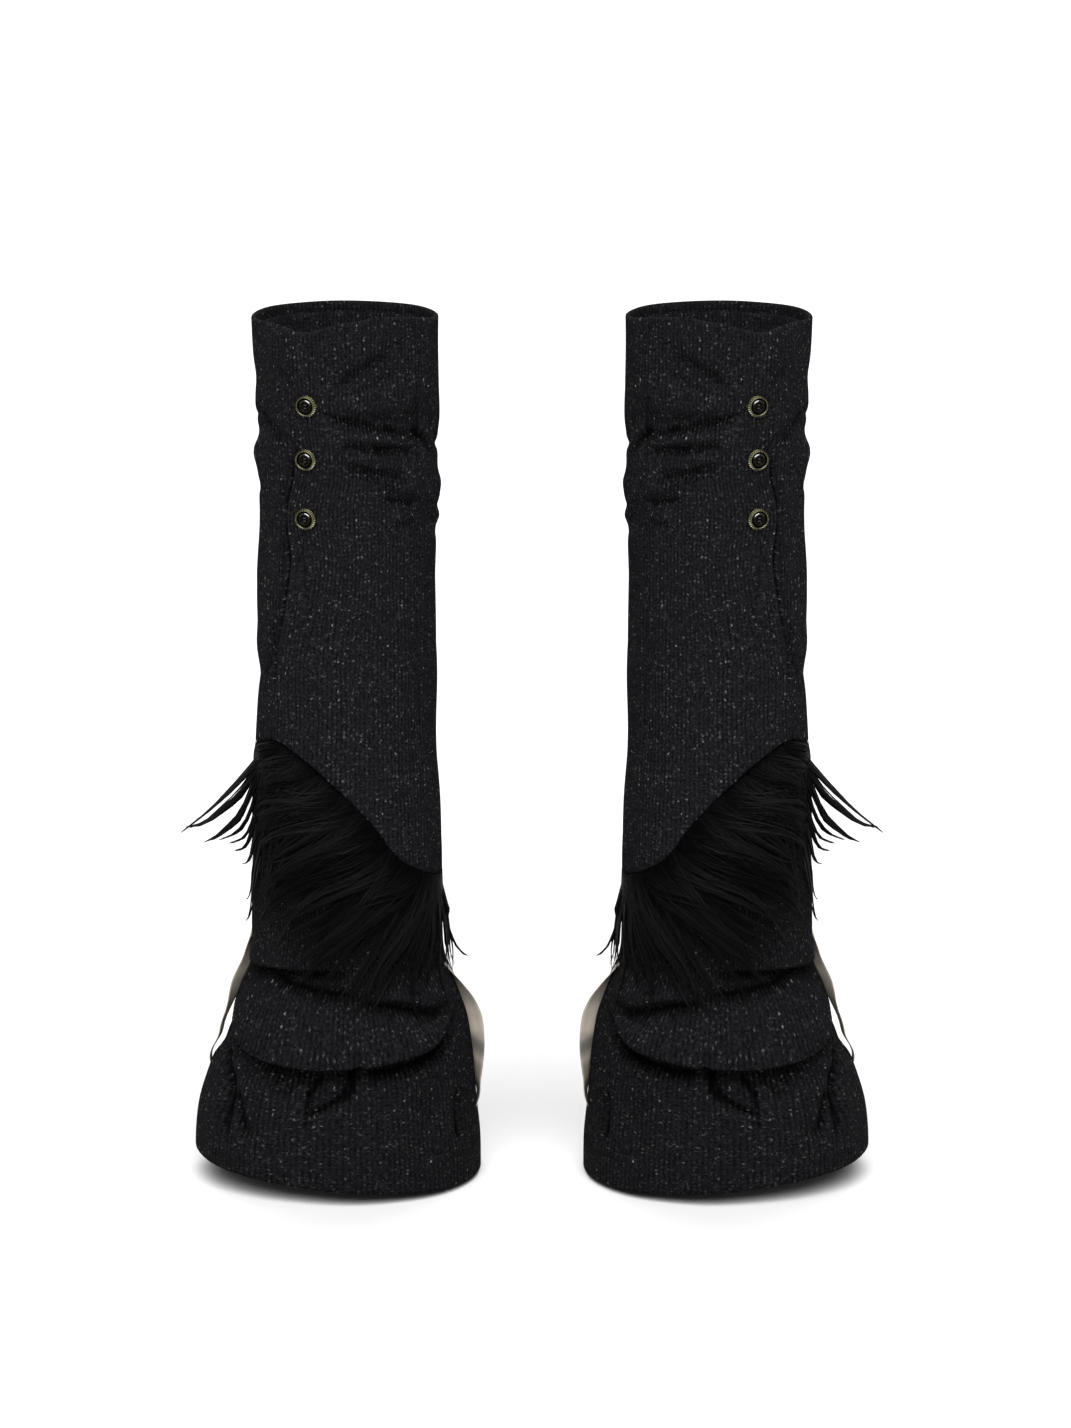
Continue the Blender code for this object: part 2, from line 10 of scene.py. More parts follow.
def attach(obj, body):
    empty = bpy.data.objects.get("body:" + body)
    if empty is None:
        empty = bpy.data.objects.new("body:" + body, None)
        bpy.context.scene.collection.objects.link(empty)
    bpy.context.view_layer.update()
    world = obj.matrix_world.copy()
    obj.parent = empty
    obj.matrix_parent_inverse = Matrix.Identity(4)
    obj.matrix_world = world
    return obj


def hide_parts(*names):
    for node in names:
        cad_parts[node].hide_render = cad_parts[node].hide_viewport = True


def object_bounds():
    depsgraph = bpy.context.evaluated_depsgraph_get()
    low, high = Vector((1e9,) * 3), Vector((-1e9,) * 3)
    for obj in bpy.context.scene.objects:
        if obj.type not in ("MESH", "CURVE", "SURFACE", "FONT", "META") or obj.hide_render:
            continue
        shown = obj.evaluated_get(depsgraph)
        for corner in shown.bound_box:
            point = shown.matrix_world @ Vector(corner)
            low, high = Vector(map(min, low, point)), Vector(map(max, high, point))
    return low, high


# Looks of a pair of rib-knit leg warmers. The left one is built piece by piece in millimetres about
# its own axis, with heights above the hem's level, and the right one is its mirror image. Angles run
# round that axis: 0 degrees faces the viewer, 90 degrees faces the viewer's right.

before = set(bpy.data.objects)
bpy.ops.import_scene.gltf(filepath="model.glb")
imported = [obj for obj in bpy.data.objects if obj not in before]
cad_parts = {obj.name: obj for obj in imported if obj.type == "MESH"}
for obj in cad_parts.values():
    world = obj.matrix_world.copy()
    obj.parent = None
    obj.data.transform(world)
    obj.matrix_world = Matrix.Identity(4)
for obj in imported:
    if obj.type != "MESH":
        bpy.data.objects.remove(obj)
CAD_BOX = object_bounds()

MM = 0.001
AXIS_APART = 207.2
CALF_HEIGHT = 430.0
RIM_HEIGHT = 496.0
WALL = 2.0
LAYER_GAP = 0.5
TUBE_BELOW_RIM = 6.0
UNDERLAP_END = 348.75  # where the wrap ends under its own front
LIFT_FULL = -11.25  # from here to its free edge the front lies over the wrap's other end
LIFT_FADE_END = 5.0  # and from here on it isn't lifted

# Smooth form without folds: height, reach to the left, reach to the right, depth over half width
SECTIONS = (
    (0, 87.5, 74.2, 0.81), (25, 88, 73.6, 0.81), (45, 85.5, 71.8, 0.81), (62, 80.4, 70.6, 0.82),
    (80, 73.8, 68.8, 0.82), (98, 67.6, 65.6, 0.83), (112, 62, 60.5, 0.83), (128, 55.2, 54.4, 0.84),
    (150, 53.9, 53.2, 0.85), (180, 53.6, 52.8, 0.85), (220, 52.2, 51.8, 0.86), (260, 50.3, 50.2, 0.86),
    (310, 49, 50, 0.86), (350, 49.2, 49.7, 0.86), (380, 47.4, 50.4, 0.86), (410, 47.8, 51, 0.86),
    (440, 49.4, 51.8, 0.86), (470, 49.4, 51.8, 0.86), (496, 50.5, 52, 0.86),
)

# Slanted lower edge of the wrap: sine of the angle, height
SLANT = (
    (-1, 256), (-0.77, 263), (-0.48, 256), (-0.21, 245), (0.05, 232), (0.31, 216), (0.56, 197), (0.77, 188),
    (1, 180),
)

# Free edge of the wrap's front: height, angle
PLACKET = (
    (250, -52), (273, -50), (312, -50), (337, -43), (366, -38), (392, -42), (417, -35), (453, -38),
    (500, -40),
)
PLACKET_EASED_BY = 32.0  # ribs run along the free edge and are back upright at this angle
EDGE_FOOT = (288.0, 306.0)  # heights between which the free edge's line fades in at its foot
EDGE_TOP = (432.0, 412.0)  # and at its top
EDGE_PAINTED_SHADOW = 0.62  # how dark the painted shadow along the free edge is
EDGE_GROOVE = 3.4  # how deep that line is
EDGE_HOLLOW = 2.6  # how deep the edge sinks into the cloth under it
EDGE_CURL = 0.5  # how far the edge itself curls out
SEAM_GROOVE = 0.9  # depth of the groove along a side seam
SEAM_SPREAD = 1.6  # and its spread in degrees

# Waves of the rim: angle, spread in degrees, rise
RIM_WAVES = ((-24, 14, -3.5), (28, 32, 4.8))
HEM_MIDDLE = 10.0
HEM_TILT = -6.5

# Folds. A fold runs along a bowed line from one angle and height to another, and swells the cloth
# outward, or dents it where swell is below 0. Sag is how far the cloth there hangs down.
# Columns: angle and height of the start, angle and height of the end, swell, spread above the line,
# spread below it, bow, sag. Where the last ones are left out, the spread below is the one above,
# and bow and sag are 0.
WRAP_FOLDS = (
    (-4, 466, 30, 475, -1.6, 6, 6, 2), (-5, 454, 64, 457, 1.5, 7, 7, 2, 1),
    (-5, 443, 70, 442, -2.9, 6, 6, 2), (62, 441, 97, 424, -2.4, 6), (-4, 435, 78, 434, 1.2, 5),
    (0, 427, 60, 425, -2, 5, 5, 1), (-2, 417, 46, 414, -1.9, 5, 5, -1), (14, 408, 92, 396, 1.8, 8, 8, 2, 1),
    (24, 401, 94, 376, -2.7, 6, 6, 4), (-104, 462, -62, 464, -1, 8), (-106, 430, -60, 436, -1.9, 7),
    (-106, 416, -60, 418, 1.3, 8, 7), (-62, 312, -94, 288, -1.4, 7), (-66, 324, -102, 302, 0.9, 9),
    (118, 446, 236, 439, -2.6, 9, 9, 3), (128, 424, 214, 430, -1.9, 9, 9, -2),
    (112, 410, 232, 405, 1.5, 9, 9, 2), (106, 396, 206, 386, -2.3, 9, 9, 3),
)
TIER_FOLDS = (
    (-84, 130, 4, 142, 2.4, 11, 6, 1, 2), (-84, 119, -4, 131, -3.6, 5, 5, 3),
    (-36, 127, 10, 119, -2.6, 4, 5), (14, 124, 72, 117, 2.6, 10, 6, 1, 2),
    (18, 114, 66, 106, -3.2, 5, 5, 1), (-80, 104, 66, 110, 6.2, 15, 9, -12, 6),
    (-62, 83, 68, 98, -4, 5, 8, -8), (8, 86, -14, 50, -2.2, 6, 6, 3), (-62, 72, -52, 42, -2.6, 7),
    (-44, 60, -34, 36, -1.6, 6), (62, 56, 60, 28, -1.4, 6), (126, 140, 228, 136, 2.4, 10, 6, 2, 2),
    (132, 129, 214, 123, -3.2, 5, 5, 2), (106, 110, 258, 106, 5.4, 14, 9, -9, 5),
    (112, 96, 252, 90, -3.6, 5, 8, -8), (188, 84, 164, 52, -2.8, 8, 8, 2), (216, 74, 224, 40, -2.4, 8),
    (126, 66, 132, 34, -1.8, 8), (-94, 104, -94, 72, -5.5, 15, 13), (-92, 126, -92, 106, -2, 12),
)

# Creases finer than the folds, on the outside of the cloth, in the same columns
WRAP_CREASES = (
    (1, 466, 31, 481, -1.9, 3.2, 4.2, 1), (8, 460, 36, 470, -1.6, 2.4, 3, 1),
    (20, 484, 44, 487, -1, 2, 2.4), (-10, 478, 12, 476, -0.8, 3), (-2, 473, 26, 485, 0.8, 3.4, 2.2, 1, 0.8),
    (-6, 463, 6, 470, -1.6, 2.4), (-14, 451, 38, 438, -2.9, 2.8, 4, -2),
    (28, 440, 58, 434, -2.6, 2.6, 4, -1), (2, 455, 34, 449, -1.5, 2, 2.4, -1),
    (20, 447, 52, 444, -1.3, 1.8, 2.2), (-6, 457, 44, 446, 1.2, 3.4, 2.6, 0, 1.4),
    (50, 460, 57, 430, -2.2, 2.6), (-1, 433, 30, 427, -2.2, 2.2, 3.4),
    (20, 430, 52, 424, -2.5, 2.4, 3.2, 1), (0, 438, 50, 431, 0.9, 3, 2, 0, 1),
    (2, 420, 44, 411, -2.5, 2.6, 4.2), (10, 414, 38, 406, -1.5, 2, 3),
    (6, 424, 40, 418, 0.8, 2.8, 2, 0, 0.8), (46, 441, 76, 420, -2.8, 2.6, 3.4),
    (26, 400, 54, 396, -2.3, 2.4, 3, 1), (34, 386, 58, 383, -2, 2.4, 2.8, 1),
    (12, 406, 34, 404, -1, 2.4, 2.4, 1), (-64, 444, -42, 434, -2.2, 4, 5), (-40, 474, -30, 462, -1.6, 5),
    (-36, 438, -27, 424, -1.2, 3), (-82, 447, -60, 446, -1.5, 2.6, 3), (-26, 374, -22, 316, -3, 1.8, 2),
    (-29, 368, -26, 326, 0.5, 2.4), (-12, 352, -10, 300, -0.4, 3), (-46, 322, -68, 292, -2, 2.2, 2.8),
    (-50, 332, -72, 304, 0.9, 3, 2.4, 0, 0.6), (78, 424, 106, 423, -1.7, 2.6),
    (76, 405, 106, 403, 1.3, 5, 4), (82, 393, 106, 392, -1, 2.6), (80, 384, 106, 382, 1.9, 4.5),
    (-108, 441, -76, 441, -1.4, 3), (-108, 421, -76, 421, 1.2, 5), (-108, 401, -76, 402, -1.3, 3.4),
    (53, 340, 56, 256, -0.9, 1.2), (58, 348, 60, 262, 0.4, 1.6), (124, 440, 168, 448, -2.4, 2.2, 2.6, 1),
    (176, 437, 222, 441, -2.2, 2.2, 2.6, -1), (128, 452, 214, 452, 0.9, 3.2, 2.2, 1, 1),
    (138, 428, 196, 421, -2.1, 2.2, 2.6, 1), (116, 399, 158, 390, -2.2, 2.2, 2.6),
    (166, 391, 204, 395, -1.9, 2.4, 2.6), (120, 405, 200, 399, 0.8, 3, 2.2, 0, 0.9),
    (150, 466, 196, 470, -1.5, 2.6, 2.6, 1), (232, 458, 254, 452, -1.4, 2.6),
    (212, 372, 236, 378, -1.4, 2.4), (128, 362, 134, 330, -1, 2.6), (206, 346, 198, 306, -0.8, 3),
    (243, 330, 252, 296, -1.2, 2.6),
)
TIER_CREASES = (
    (-92, 125, 4, 131, -4, 2.2, 3.2, 2), (-50, 126, 6, 119, -4.2, 2, 3.2, -1),
    (-40, 130, 2, 127, 1.6, 2.2, 1.8, 0, 1.4), (-88, 134, 6, 141, 2, 5, 3, 1, 3),
    (3, 117, 62, 107, -4, 2.2, 3.2, 1), (6, 124, 60, 114, 1.4, 4, 2.4, 1, 1.8),
    (84, 116, 56, 101, 1.6, 2.8), (-94, 107, -58, 86, -2.4, 2.4, 3.8),
    (-64, 87, 68, 100, -4.2, 2.2, 4.4, -8), (-58, 94, 62, 105, 3, 6, 3.2, -8, 4.8),
    (-50, 78, 62, 90, -2.2, 3, 10, -8), (8, 77, 66, 90, -3.2, 2.4, 3.4, -3),
    (10, 82, 60, 94, 1, 2.4, 2, -3, 1.2), (6.5, 96, 0, 60, -5, 1.9), (4, 70, -15, 52, -4.6, 1.7, 1.7, -1),
    (11, 84, 4, 58, 1.6, 3.4), (2, 58, -14, 46, 1.3, 3.4), (-3, 84, -7, 64, 1.6, 3.6),
    (-10.5, 76, -17, 60, -3.4, 1.5), (-16.4, 65, -15, 44, -3, 1.4), (-20, 66, -20, 48, 0.9, 2.8),
    (-69, 82, -58, 62, -4.2, 2.6, 3), (-58, 68, -53, 34, -4.4, 2.6), (-65, 64, -60, 36, 1.8, 3.2),
    (-52, 62, -41, 36, -3.6, 2.8, 3), (-48, 64, -36, 44, 0.9, 3.4), (61, 60, 60, 28, -3.4, 2.6),
    (52, 66, 50, 34, 1.2, 3.6), (30, 62, 46, 44, -1.2, 3.4), (-34, 76, -22, 62, -1.2, 3.4),
    (128, 127, 176, 122, -2.6, 2, 2.8, 1), (180, 121, 222, 126, -2.4, 2, 2.8, -1),
    (126, 134, 222, 133, 1.4, 4.4, 2.4, 1, 1.8), (110, 94, 254, 89, -3.2, 1.9, 4, -8),
    (116, 100, 248, 95, 2.4, 5.6, 3, -8, 3.8), (120, 86, 240, 82, -1.4, 3, 9, -8),
    (186, 82, 166, 50, -3.2, 2.4, 2.8, 1), (158, 66, 154, 42, -2, 2.2), (216, 76, 224, 38, -2.8, 2.4),
    (236, 60, 232, 36, -1.8, 2.6), (126, 68, 132, 34, -2.4, 2.4), (98, 92, 108, 76, -1.8, 2.8),
)
FOLD_RADIUS = 58.0
FOLD_END = 0.2  # part of a fold's length over which its ends fade

# The tube under the wrap: its inset there, more of it between heights, and the distances below the
# slanted edge over which it comes out from under it
TUBE_INSET = WALL + LAYER_GAP
BAND_INSET = 3.0
BAND_TOP = (486.0, 476.0)
BAND_FOOT = (275.0, 300.0)
TUBE_RISE = (30.0, 15.0)

# Ribs and rows of the knit
RIB_PITCH = 2.5
ROW_PITCH = 2.2
WRAP_RIBS = 126
TUBE_RIBS = 144
EASED_RIBS = 28  # ribs of the front that run along its free edge
RIB_RELIEF = 0.62
RIB_ROUNDNESS = 0.7  # lower is rounder at the top, with narrower grooves
RIB_MIDDLE = 0.55  # part of a rib's height at which the cloth's own surface lies
RIB_COLUMNS = (0.0, 0.41, 0.59)  # where a rib has its columns of points: its top and its groove's sides
FOLDED = (150.0, 38.0)  # heights between which the tube has folds, and level rows of points
FOLDED_STEP = 1.2  # from row to row there
GROOVE_DEEPER = 0.35  # how much deeper the grooves are for each millimetre of a crease's depth
GROOVE_DENT_MOST = 2.2  # depth beyond which the grooves get no deeper
CREASE_SHADE_DARKEST_AT = 3.6  # depth of a crease in millimetres at which its painted shade is darkest
INSIDE_CLEARS = 0.8  # how far the inside keeps off each millimetre of a crease's depth
ROUNDED_OUT = 0.9  # how far a rounded edge stands out from the points beside it
TEXTURE_SPAN = 500.0  # millimetres across the whole texture square
SEAM_TURN = TUBE_RIBS * RIB_PITCH / TEXTURE_SPAN
SEAM_LEAST = 0.3  # a face wider than this on the texture closes the tube's round
INSIDE_DARKEST = 0.7  # how dark the painted shade on the tube's inside gets
INSIDE_DARK = (10.0, 26.0)  # which deepens between these distances below the rim


def curves(table, at):
    """The columns of a table after its first one, on smooth curves through its rows."""
    table = np.array(table, float)
    places, values = table[:, 0], table[:, 1:]
    slopes = np.gradient(values, places, axis=0)
    at = np.clip(at, places[0], places[-1])
    index = np.clip(np.searchsorted(places, at) - 1, 0, len(places) - 2)
    width = (places[index + 1] - places[index])[..., None]
    t = (at - places[index])[..., None] / width
    level = values[index] * (1 + 2 * t) * (1 - t) ** 2 + values[index + 1] * t * t * (3 - 2 * t)
    bend = width * t * (1 - t) * (slopes[index] * (1 - t) - slopes[index + 1] * t)
    return np.moveaxis(level + bend, -1, 0)


def ease(value, start, end):
    """0 before start, 1 after end, smooth between; end may be below start."""
    t = np.clip((value - start) / (end - start), 0.0, 1.0)
    return t * t * (3 - 2 * t)


def bell(off, spread):
    return np.exp(-(off / spread) ** 2)


def unit(vectors):
    return vectors / np.linalg.norm(vectors, axis=-1, keepdims=True)


def joined(*parts):
    """Arrays of coordinates, one for each axis, as one array of points."""
    return np.stack(np.broadcast_arrays(*parts), axis=-1)


def sideways(angle):
    """Sine of an angle in degrees: -1 at the far left and 1 at the far right."""
    return np.sin(np.radians(angle))


def apart(angle, middle):
    """Degrees from a middle to an angle, the shorter way round."""
    return (angle - middle + 180) % 360 - 180


def fold_field(folds, angle, height):
    """Outward swell and downward sag of a table of folds at each place."""
    swell = np.zeros_like(angle)
    sag = np.zeros_like(angle)
    for row in folds:
        a0, z0, a1, z1, rise, above, below, bow, hang = row + (row[5], 0, 0)[len(row) - 6:]
        middle = (a0 + a1) / 2
        across = np.radians(apart(angle, middle) + middle - a0) * FOLD_RADIUS
        run, climb = math.radians(a1 - a0) * FOLD_RADIUS, z1 - z0
        length = math.hypot(run, climb)
        along = (across * run + (height - z0) * climb) / length ** 2
        off = math.copysign(1.0, run) * ((height - z0) * run - across * climb) / length
        inside = np.clip(along, 0, 1)
        off = off - bow * 4 * inside * (1 - inside)
        ends = ease(along, -FOLD_END / 2, FOLD_END) * ease(along, 1 + FOLD_END / 2, 1 - FOLD_END)
        shape = ends * bell(off, np.where(off > 0, above, below))
        swell += rise * shape
        sag += hang * shape
    return swell, sag


def crease_depth(creases, angle, height):
    return np.maximum(-fold_field(creases, angle, height)[0], 0.0)


def unevenness(angle, height):
    """Small waves that no maker planned, so that the cloth isn't a smooth barrel."""
    turn = np.radians(angle)
    return (0.45 * np.sin(3 * turn + height / 31.0 + 1.0) * np.sin(height / 23.0 + 0.6)
            + 0.30 * np.sin(7 * turn - height / 17.0 + 2.2)
            + 0.22 * np.sin(11 * turn + height / 11.0) * np.sin(height / 37.0 + 2.0))


def section(height):
    """Reach to the left, reach to the right and depth of the smooth form at a height."""
    left, right, ratio = curves(SECTIONS, height)
    return left, right, ratio * (left + right) / 2


def surface(angle, height, folds):
    """Points of the outermost cloth."""
    left, right, depth = section(height)
    sine = sideways(angle)
    cosine = np.cos(np.radians(angle))
    reach = np.where(sine < 0, left, right)
    swell, sag = fold_field(folds, angle, height)
    if folds:
        swell = swell + unevenness(angle, height)
    outward = unit(joined(sine / reach, -cosine / depth))
    x = reach * sine + swell * outward[..., 0]
    y = -depth * cosine + swell * outward[..., 1]
    return joined(x, y, height - sag)


def layer(angle, height, folds, inset):
    """Points that lie inset millimetres in from the outermost cloth, along its own normal."""
    step = 0.5
    angle = np.asarray(angle, float)
    height = np.asarray(height, float)
    along = surface(angle + step, height, folds) - surface(angle - step, height, folds)
    up = surface(angle, height + step, folds) - surface(angle, height - step, folds)
    normal = unit(np.cross(along, up))
    return surface(angle, height, folds) - np.asarray(inset)[..., None] * normal


def slant_height(angle):
    return curves(SLANT, sideways(angle))[0]


def rim_height(angle):
    return RIM_HEIGHT + sum(rise * bell(apart(angle, middle), spread) for middle, spread, rise in RIM_WAVES)


def hem_height(angle):
    return HEM_MIDDLE + HEM_TILT * sideways(angle)


def tube_inset(angle, height):
    """How far the tube lies under the outermost cloth: under the wrap, and level with it below."""
    covered = TUBE_INSET + BAND_INSET * ease(height, *BAND_TOP) * ease(height, *BAND_FOOT)
    return covered * ease(slant_height(angle) - height, *TUBE_RISE)


def front_lift(angle):
    return (WALL + LAYER_GAP) * ease(angle, LIFT_FADE_END, LIFT_FULL)


def edge_lines(angle, height):
    """How much of the front's free edge shows at a height, from 0 to 1, the angle from the edge, and
    the line along it, from 0 to 1, which is both a groove in the cloth and a painted shadow."""
    shown = ease(height, *EDGE_FOOT) * ease(height, *EDGE_TOP)
    off = angle - curves(PLACKET, height)[0]
    return shown, off, shown * bell(off - 1.5, 1.3)


def wrap_inset(angle, height):
    """The wrap's own ups and downs: its lifted front with a curled edge, the hollow that the edge
    leaves in the cloth beside it, and the grooves of the side seams."""
    shown, off, groove = edge_lines(angle, height)
    seam = SEAM_GROOVE * (bell(angle - 90, SEAM_SPREAD) + bell(angle - 270, SEAM_SPREAD))
    hollow = EDGE_HOLLOW * shown * bell(off - 361, 5.0)
    curl = EDGE_CURL * shown * bell(off, 1.5)
    return seam + hollow + EDGE_GROOVE * groove - curl - front_lift(angle)


def rib_relief(rib, angle, height, creases):
    """Height of the knit over its own middle: round ribs at whole numbers, narrow grooves between,
    deeper inside the creases."""
    deeper = GROOVE_DEEPER * np.minimum(crease_depth(creases, angle, height), GROOVE_DENT_MOST)
    return RIB_RELIEF * (1 + deeper) * (np.abs(np.cos(math.pi * rib)) ** RIB_ROUNDNESS - RIB_MIDDLE)


def rib_columns(count):
    """Rib number of every column of points."""
    return (np.arange(count)[:, None] + np.array(RIB_COLUMNS)).ravel()


def to_frame(points):
    """The left leg warmer's own millimetres to the frame's metres."""
    return (np.array(points, float) - (AXIS_APART / 2, 0.0, CALF_HEIGHT)) * MM


def set_uv(mesh, values):
    """Give every corner its place on the cloth and, where there is a third value, its painted shade."""
    corner = np.zeros(len(mesh.loops), int)
    start, total = np.zeros((2, len(mesh.polygons)), int)
    mesh.loops.foreach_get("vertex_index", corner)
    mesh.polygons.foreach_get("loop_start", start)
    mesh.polygons.foreach_get("loop_total", total)
    owner = np.repeat(np.arange(len(start)), total)
    values = values[corner]
    across = values[:, 0]
    highest = np.maximum.reduceat(across, start)[owner]
    lowest = np.minimum.reduceat(across, start)[owner]
    across[(highest - lowest > SEAM_LEAST) & (across < (highest + lowest) / 2)] += SEAM_TURN
    mesh.uv_layers.new(name="cloth").data.foreach_set("uv", values[:, :2].ravel())
    if values.shape[1] > 2:
        dark = values[:, 2:] * (1.0, 0.0)
        mesh.uv_layers.new(name="crease").data.foreach_set("uv", dark.ravel())


def add_object(name, data):
    made = bpy.data.objects.new(name, data)
    bpy.context.scene.collection.objects.link(made)
    return made


def make_pair(name, vertices, faces, materials, nodes=(), uv=None, material_index=None):
    """A left piece from points in the frame, and its mirror image, both riding. They
    replace the nodes of their own name, if no others are given."""
    mesh = bpy.data.meshes.new(f"left_{name}")
    mesh.from_pydata([tuple(v) for v in vertices], [], faces)
    if uv is not None:
        set_uv(mesh, np.array(uv, float))
    shape = bmesh.new()
    shape.from_mesh(mesh)
    bmesh.ops.recalc_face_normals(shape, faces=shape.faces)
    shape.to_mesh(mesh)
    shape.free()
    mesh.shade_smooth()
    for material in materials:
        mesh.materials.append(material)
    if material_index is not None:
        mesh.polygons.foreach_set("material_index", np.array(material_index, np.int32))
    other = mesh.copy()
    other.name = f"right_{name}"
    other.transform(Matrix.Scale(-1, 4, (1, 0, 0)))
    other.flip_normals()
    pair = []
    for leg, data in (("left", mesh), ("right", other)):
        piece = add_object(f"{leg}_{name}_look", data)
        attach(piece, "root")
        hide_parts(*[f"{leg}_{node}" for node in nodes or [name]])
        pair.append(piece)
    return pair


def zip_faces(long, short):
    """Triangles between two lines of points of which one has more points than the other."""
    faces = []
    i = j = 0
    while i < len(long) - 1 or j < len(short) - 1:
        behind = (i + 1) / (len(long) - 1) <= (j + 1) / (len(short) - 1)
        if j == len(short) - 1 or (i < len(long) - 1 and behind):
            faces.append((long[i], long[i + 1], short[j]))
            i += 1
        else:
            faces.append((long[i], short[j + 1], short[j]))
            j += 1
    return faces


def grid_faces(index, closed):
    """Faces of a grid of point numbers; the rows of a closed one are rings."""
    if closed:
        index = np.hstack([index, index[:, :1]])
    corners = np.stack([index[:-1, :-1], index[1:, :-1], index[1:, 1:], index[:-1, 1:]], axis=-1)
    return [tuple(face) for face in corners.reshape(-1, 4).tolist()]


def rounded_edge(edge, within, other):
    """Points halfway between two lines of points, a little further out."""
    return (edge + other) / 2 + unit(edge - within) * ROUNDED_OUT


def match(line, count, closed):
    """A line of points taken at another number of even steps along it."""
    if closed:
        line = np.concatenate([line, line[:1]])
    at = np.linspace(0, len(line) - 1, count, endpoint=not closed)
    return joined(*[np.interp(at, np.arange(len(line)), line[:, k]) for k in range(3)])


def make_wall(outer, inner, outer_uv, inner_uv, closed):
    """A closed cloth wall from an outer grid and an inner one with fewer rows and columns."""
    parts = []
    uvs = []

    def add(points, uv):
        """Take points into the wall and give their numbers."""
        first = sum(map(len, parts))
        parts.append(points.reshape(-1, 3))
        uvs.append(uv.reshape(-1, uv.shape[-1]))
        return first + np.arange(len(parts[-1])).reshape(points.shape[:-1])

    out = add(outer, outer_uv)
    inn = add(inner, inner_uv)
    ends = ((0, 1), (-1, -2))
    lips = []
    for row, beside in ends:
        across = match(inner[row], outer.shape[1], closed)
        lips.append(add(rounded_edge(outer[row], outer[beside], across), outer_uv[row]))
    top, low = lips
    faces = grid_faces(out, closed) + [face[::-1] for face in grid_faces(inn, closed)]
    faces += grid_faces(np.stack([top, out[0]]), closed) + grid_faces(np.stack([out[-1], low]), closed)
    for lip, row in ((top, inn[0]), (low, inn[-1])):
        if closed:
            lip, row = np.append(lip, lip[0]), np.append(row, row[0])
        faces += zip_faces(lip.tolist(), row.tolist())
    for side, beside in (() if closed else ends):
        across = match(inner[:, side], len(outer), False)
        edge = rounded_edge(outer[:, side], outer[:, beside], across)
        lip = add(edge[1:-1], outer_uv[1:-1, side])
        line = [int(top[side]), *lip.tolist(), int(low[side])]
        faces += grid_faces(np.stack([out[:, side], line], axis=1), False)
        faces += zip_faces(line, inn[:, side].tolist())
    return np.concatenate(parts), faces, np.concatenate(uvs)


def thin_out(grid, closed):
    """Every second row and column of a grid, with its last row and, if it is open, its last column."""
    rows = sorted({*range(0, grid.shape[0], 2), grid.shape[0] - 1})
    columns = range(0, grid.shape[1], 2)
    if not closed:
        columns = sorted({*columns, grid.shape[1] - 1})
    return grid[rows][:, list(columns)]


def make_knit(name, rib, angle, height, folds, creases, inset, material, darker=0.0, closed=False):
    """A pair of knitted walls from the ribs, angles and heights of a grid. The function inset says
    how far they lie in from the outermost cloth, and darker adds to the shade painted into the creases."""
    rib = np.broadcast_to(rib, height.shape)
    relief = rib_relief(rib, angle, height, creases)
    outer = layer(angle, height, folds + creases, inset(angle, height) - relief)
    a, z = thin_out(angle, closed), thin_out(height, closed)
    inner = layer(a, z, folds, inset(a, z) + (WALL + INSIDE_CLEARS * crease_depth(creases, a, z)))
    # painted shade: the deeper a crease, the darker its wool, plus what darker adds
    dark = np.clip(crease_depth(creases, angle, height) / CREASE_SHADE_DARKEST_AT + darker, 0, 1)
    uv = joined(rib * RIB_PITCH / TEXTURE_SPAN, height / TEXTURE_SPAN, dark)
    inner_uv = thin_out(uv, closed)
    if closed:
        # painted shade on the tube's inside, darker further below the rim
        inner_uv[..., 2] = INSIDE_DARKEST * ease(rim_height(a) - z, *INSIDE_DARK)
    vertices, faces, uv = make_wall(outer, inner, uv, inner_uv, closed)
    nodes = [f"{name}_front", f"{name}_back"]
    return make_pair(name, to_frame(vertices), faces, [material], nodes, uv)


def make_tube(material):
    rib = rib_columns(TUBE_RIBS)
    line = rib * 360.0 / TUBE_RIBS
    under_slant = slant_height(line) + 5
    top = rim_height(line) - TUBE_BELOW_RIM
    hidden = [top + (under_slant - top) * t for t in np.linspace(0, 1, 7)]
    under_hair = [under_slant + (FOLDED[0] - under_slant) * t for t in np.linspace(0, 1, 15)[1:]]
    folded = [np.full_like(line, z) for z in np.arange(*FOLDED, -FOLDED_STEP)[1:]]
    last = folded[-1]
    hem = [last + (hem_height(line) - last) * t for t in np.linspace(0, 1, 15)[1:]]
    height = np.stack(hidden + under_hair + folded + hem)
    angle = np.broadcast_to(line, height.shape)
    return make_knit("tube", rib, angle, height, TIER_FOLDS, TIER_CREASES, tube_inset, material, closed=True)


def make_wrap(material):
    count = EASED_RIBS + round((UNDERLAP_END - PLACKET_EASED_BY) * WRAP_RIBS / 360)
    rib = np.append(rib_columns(count), count)
    fixed = PLACKET_EASED_BY + (rib - EASED_RIBS) * 360 / WRAP_RIBS
    part = np.clip(rib / EASED_RIBS, 0, 1)

    def place(t):
        """Angles and heights of one row, t from 0 at the rim to 1 at the slanted edge."""
        angle = fixed
        for _ in range(3):
            rim = rim_height(angle)
            height = rim + (slant_height(angle) - rim) * t
            edge = curves(PLACKET, height)[0]
            angle = np.where(rib < EASED_RIBS, edge + (PLACKET_EASED_BY - edge) * part, fixed)
        return angle, height

    band = np.linspace(0, 0.50, 92)
    lower = np.linspace(0.50, 1, 38)[1:]
    angle, height = np.stack([place(t) for t in (*band, *lower)], axis=1)
    # painted shadow along the front's free edge
    darker = EDGE_PAINTED_SHADOW * edge_lines(angle, height)[2]
    return make_knit("wrap", rib, angle, height, WRAP_FOLDS, WRAP_CREASES, wrap_inset, material, darker)


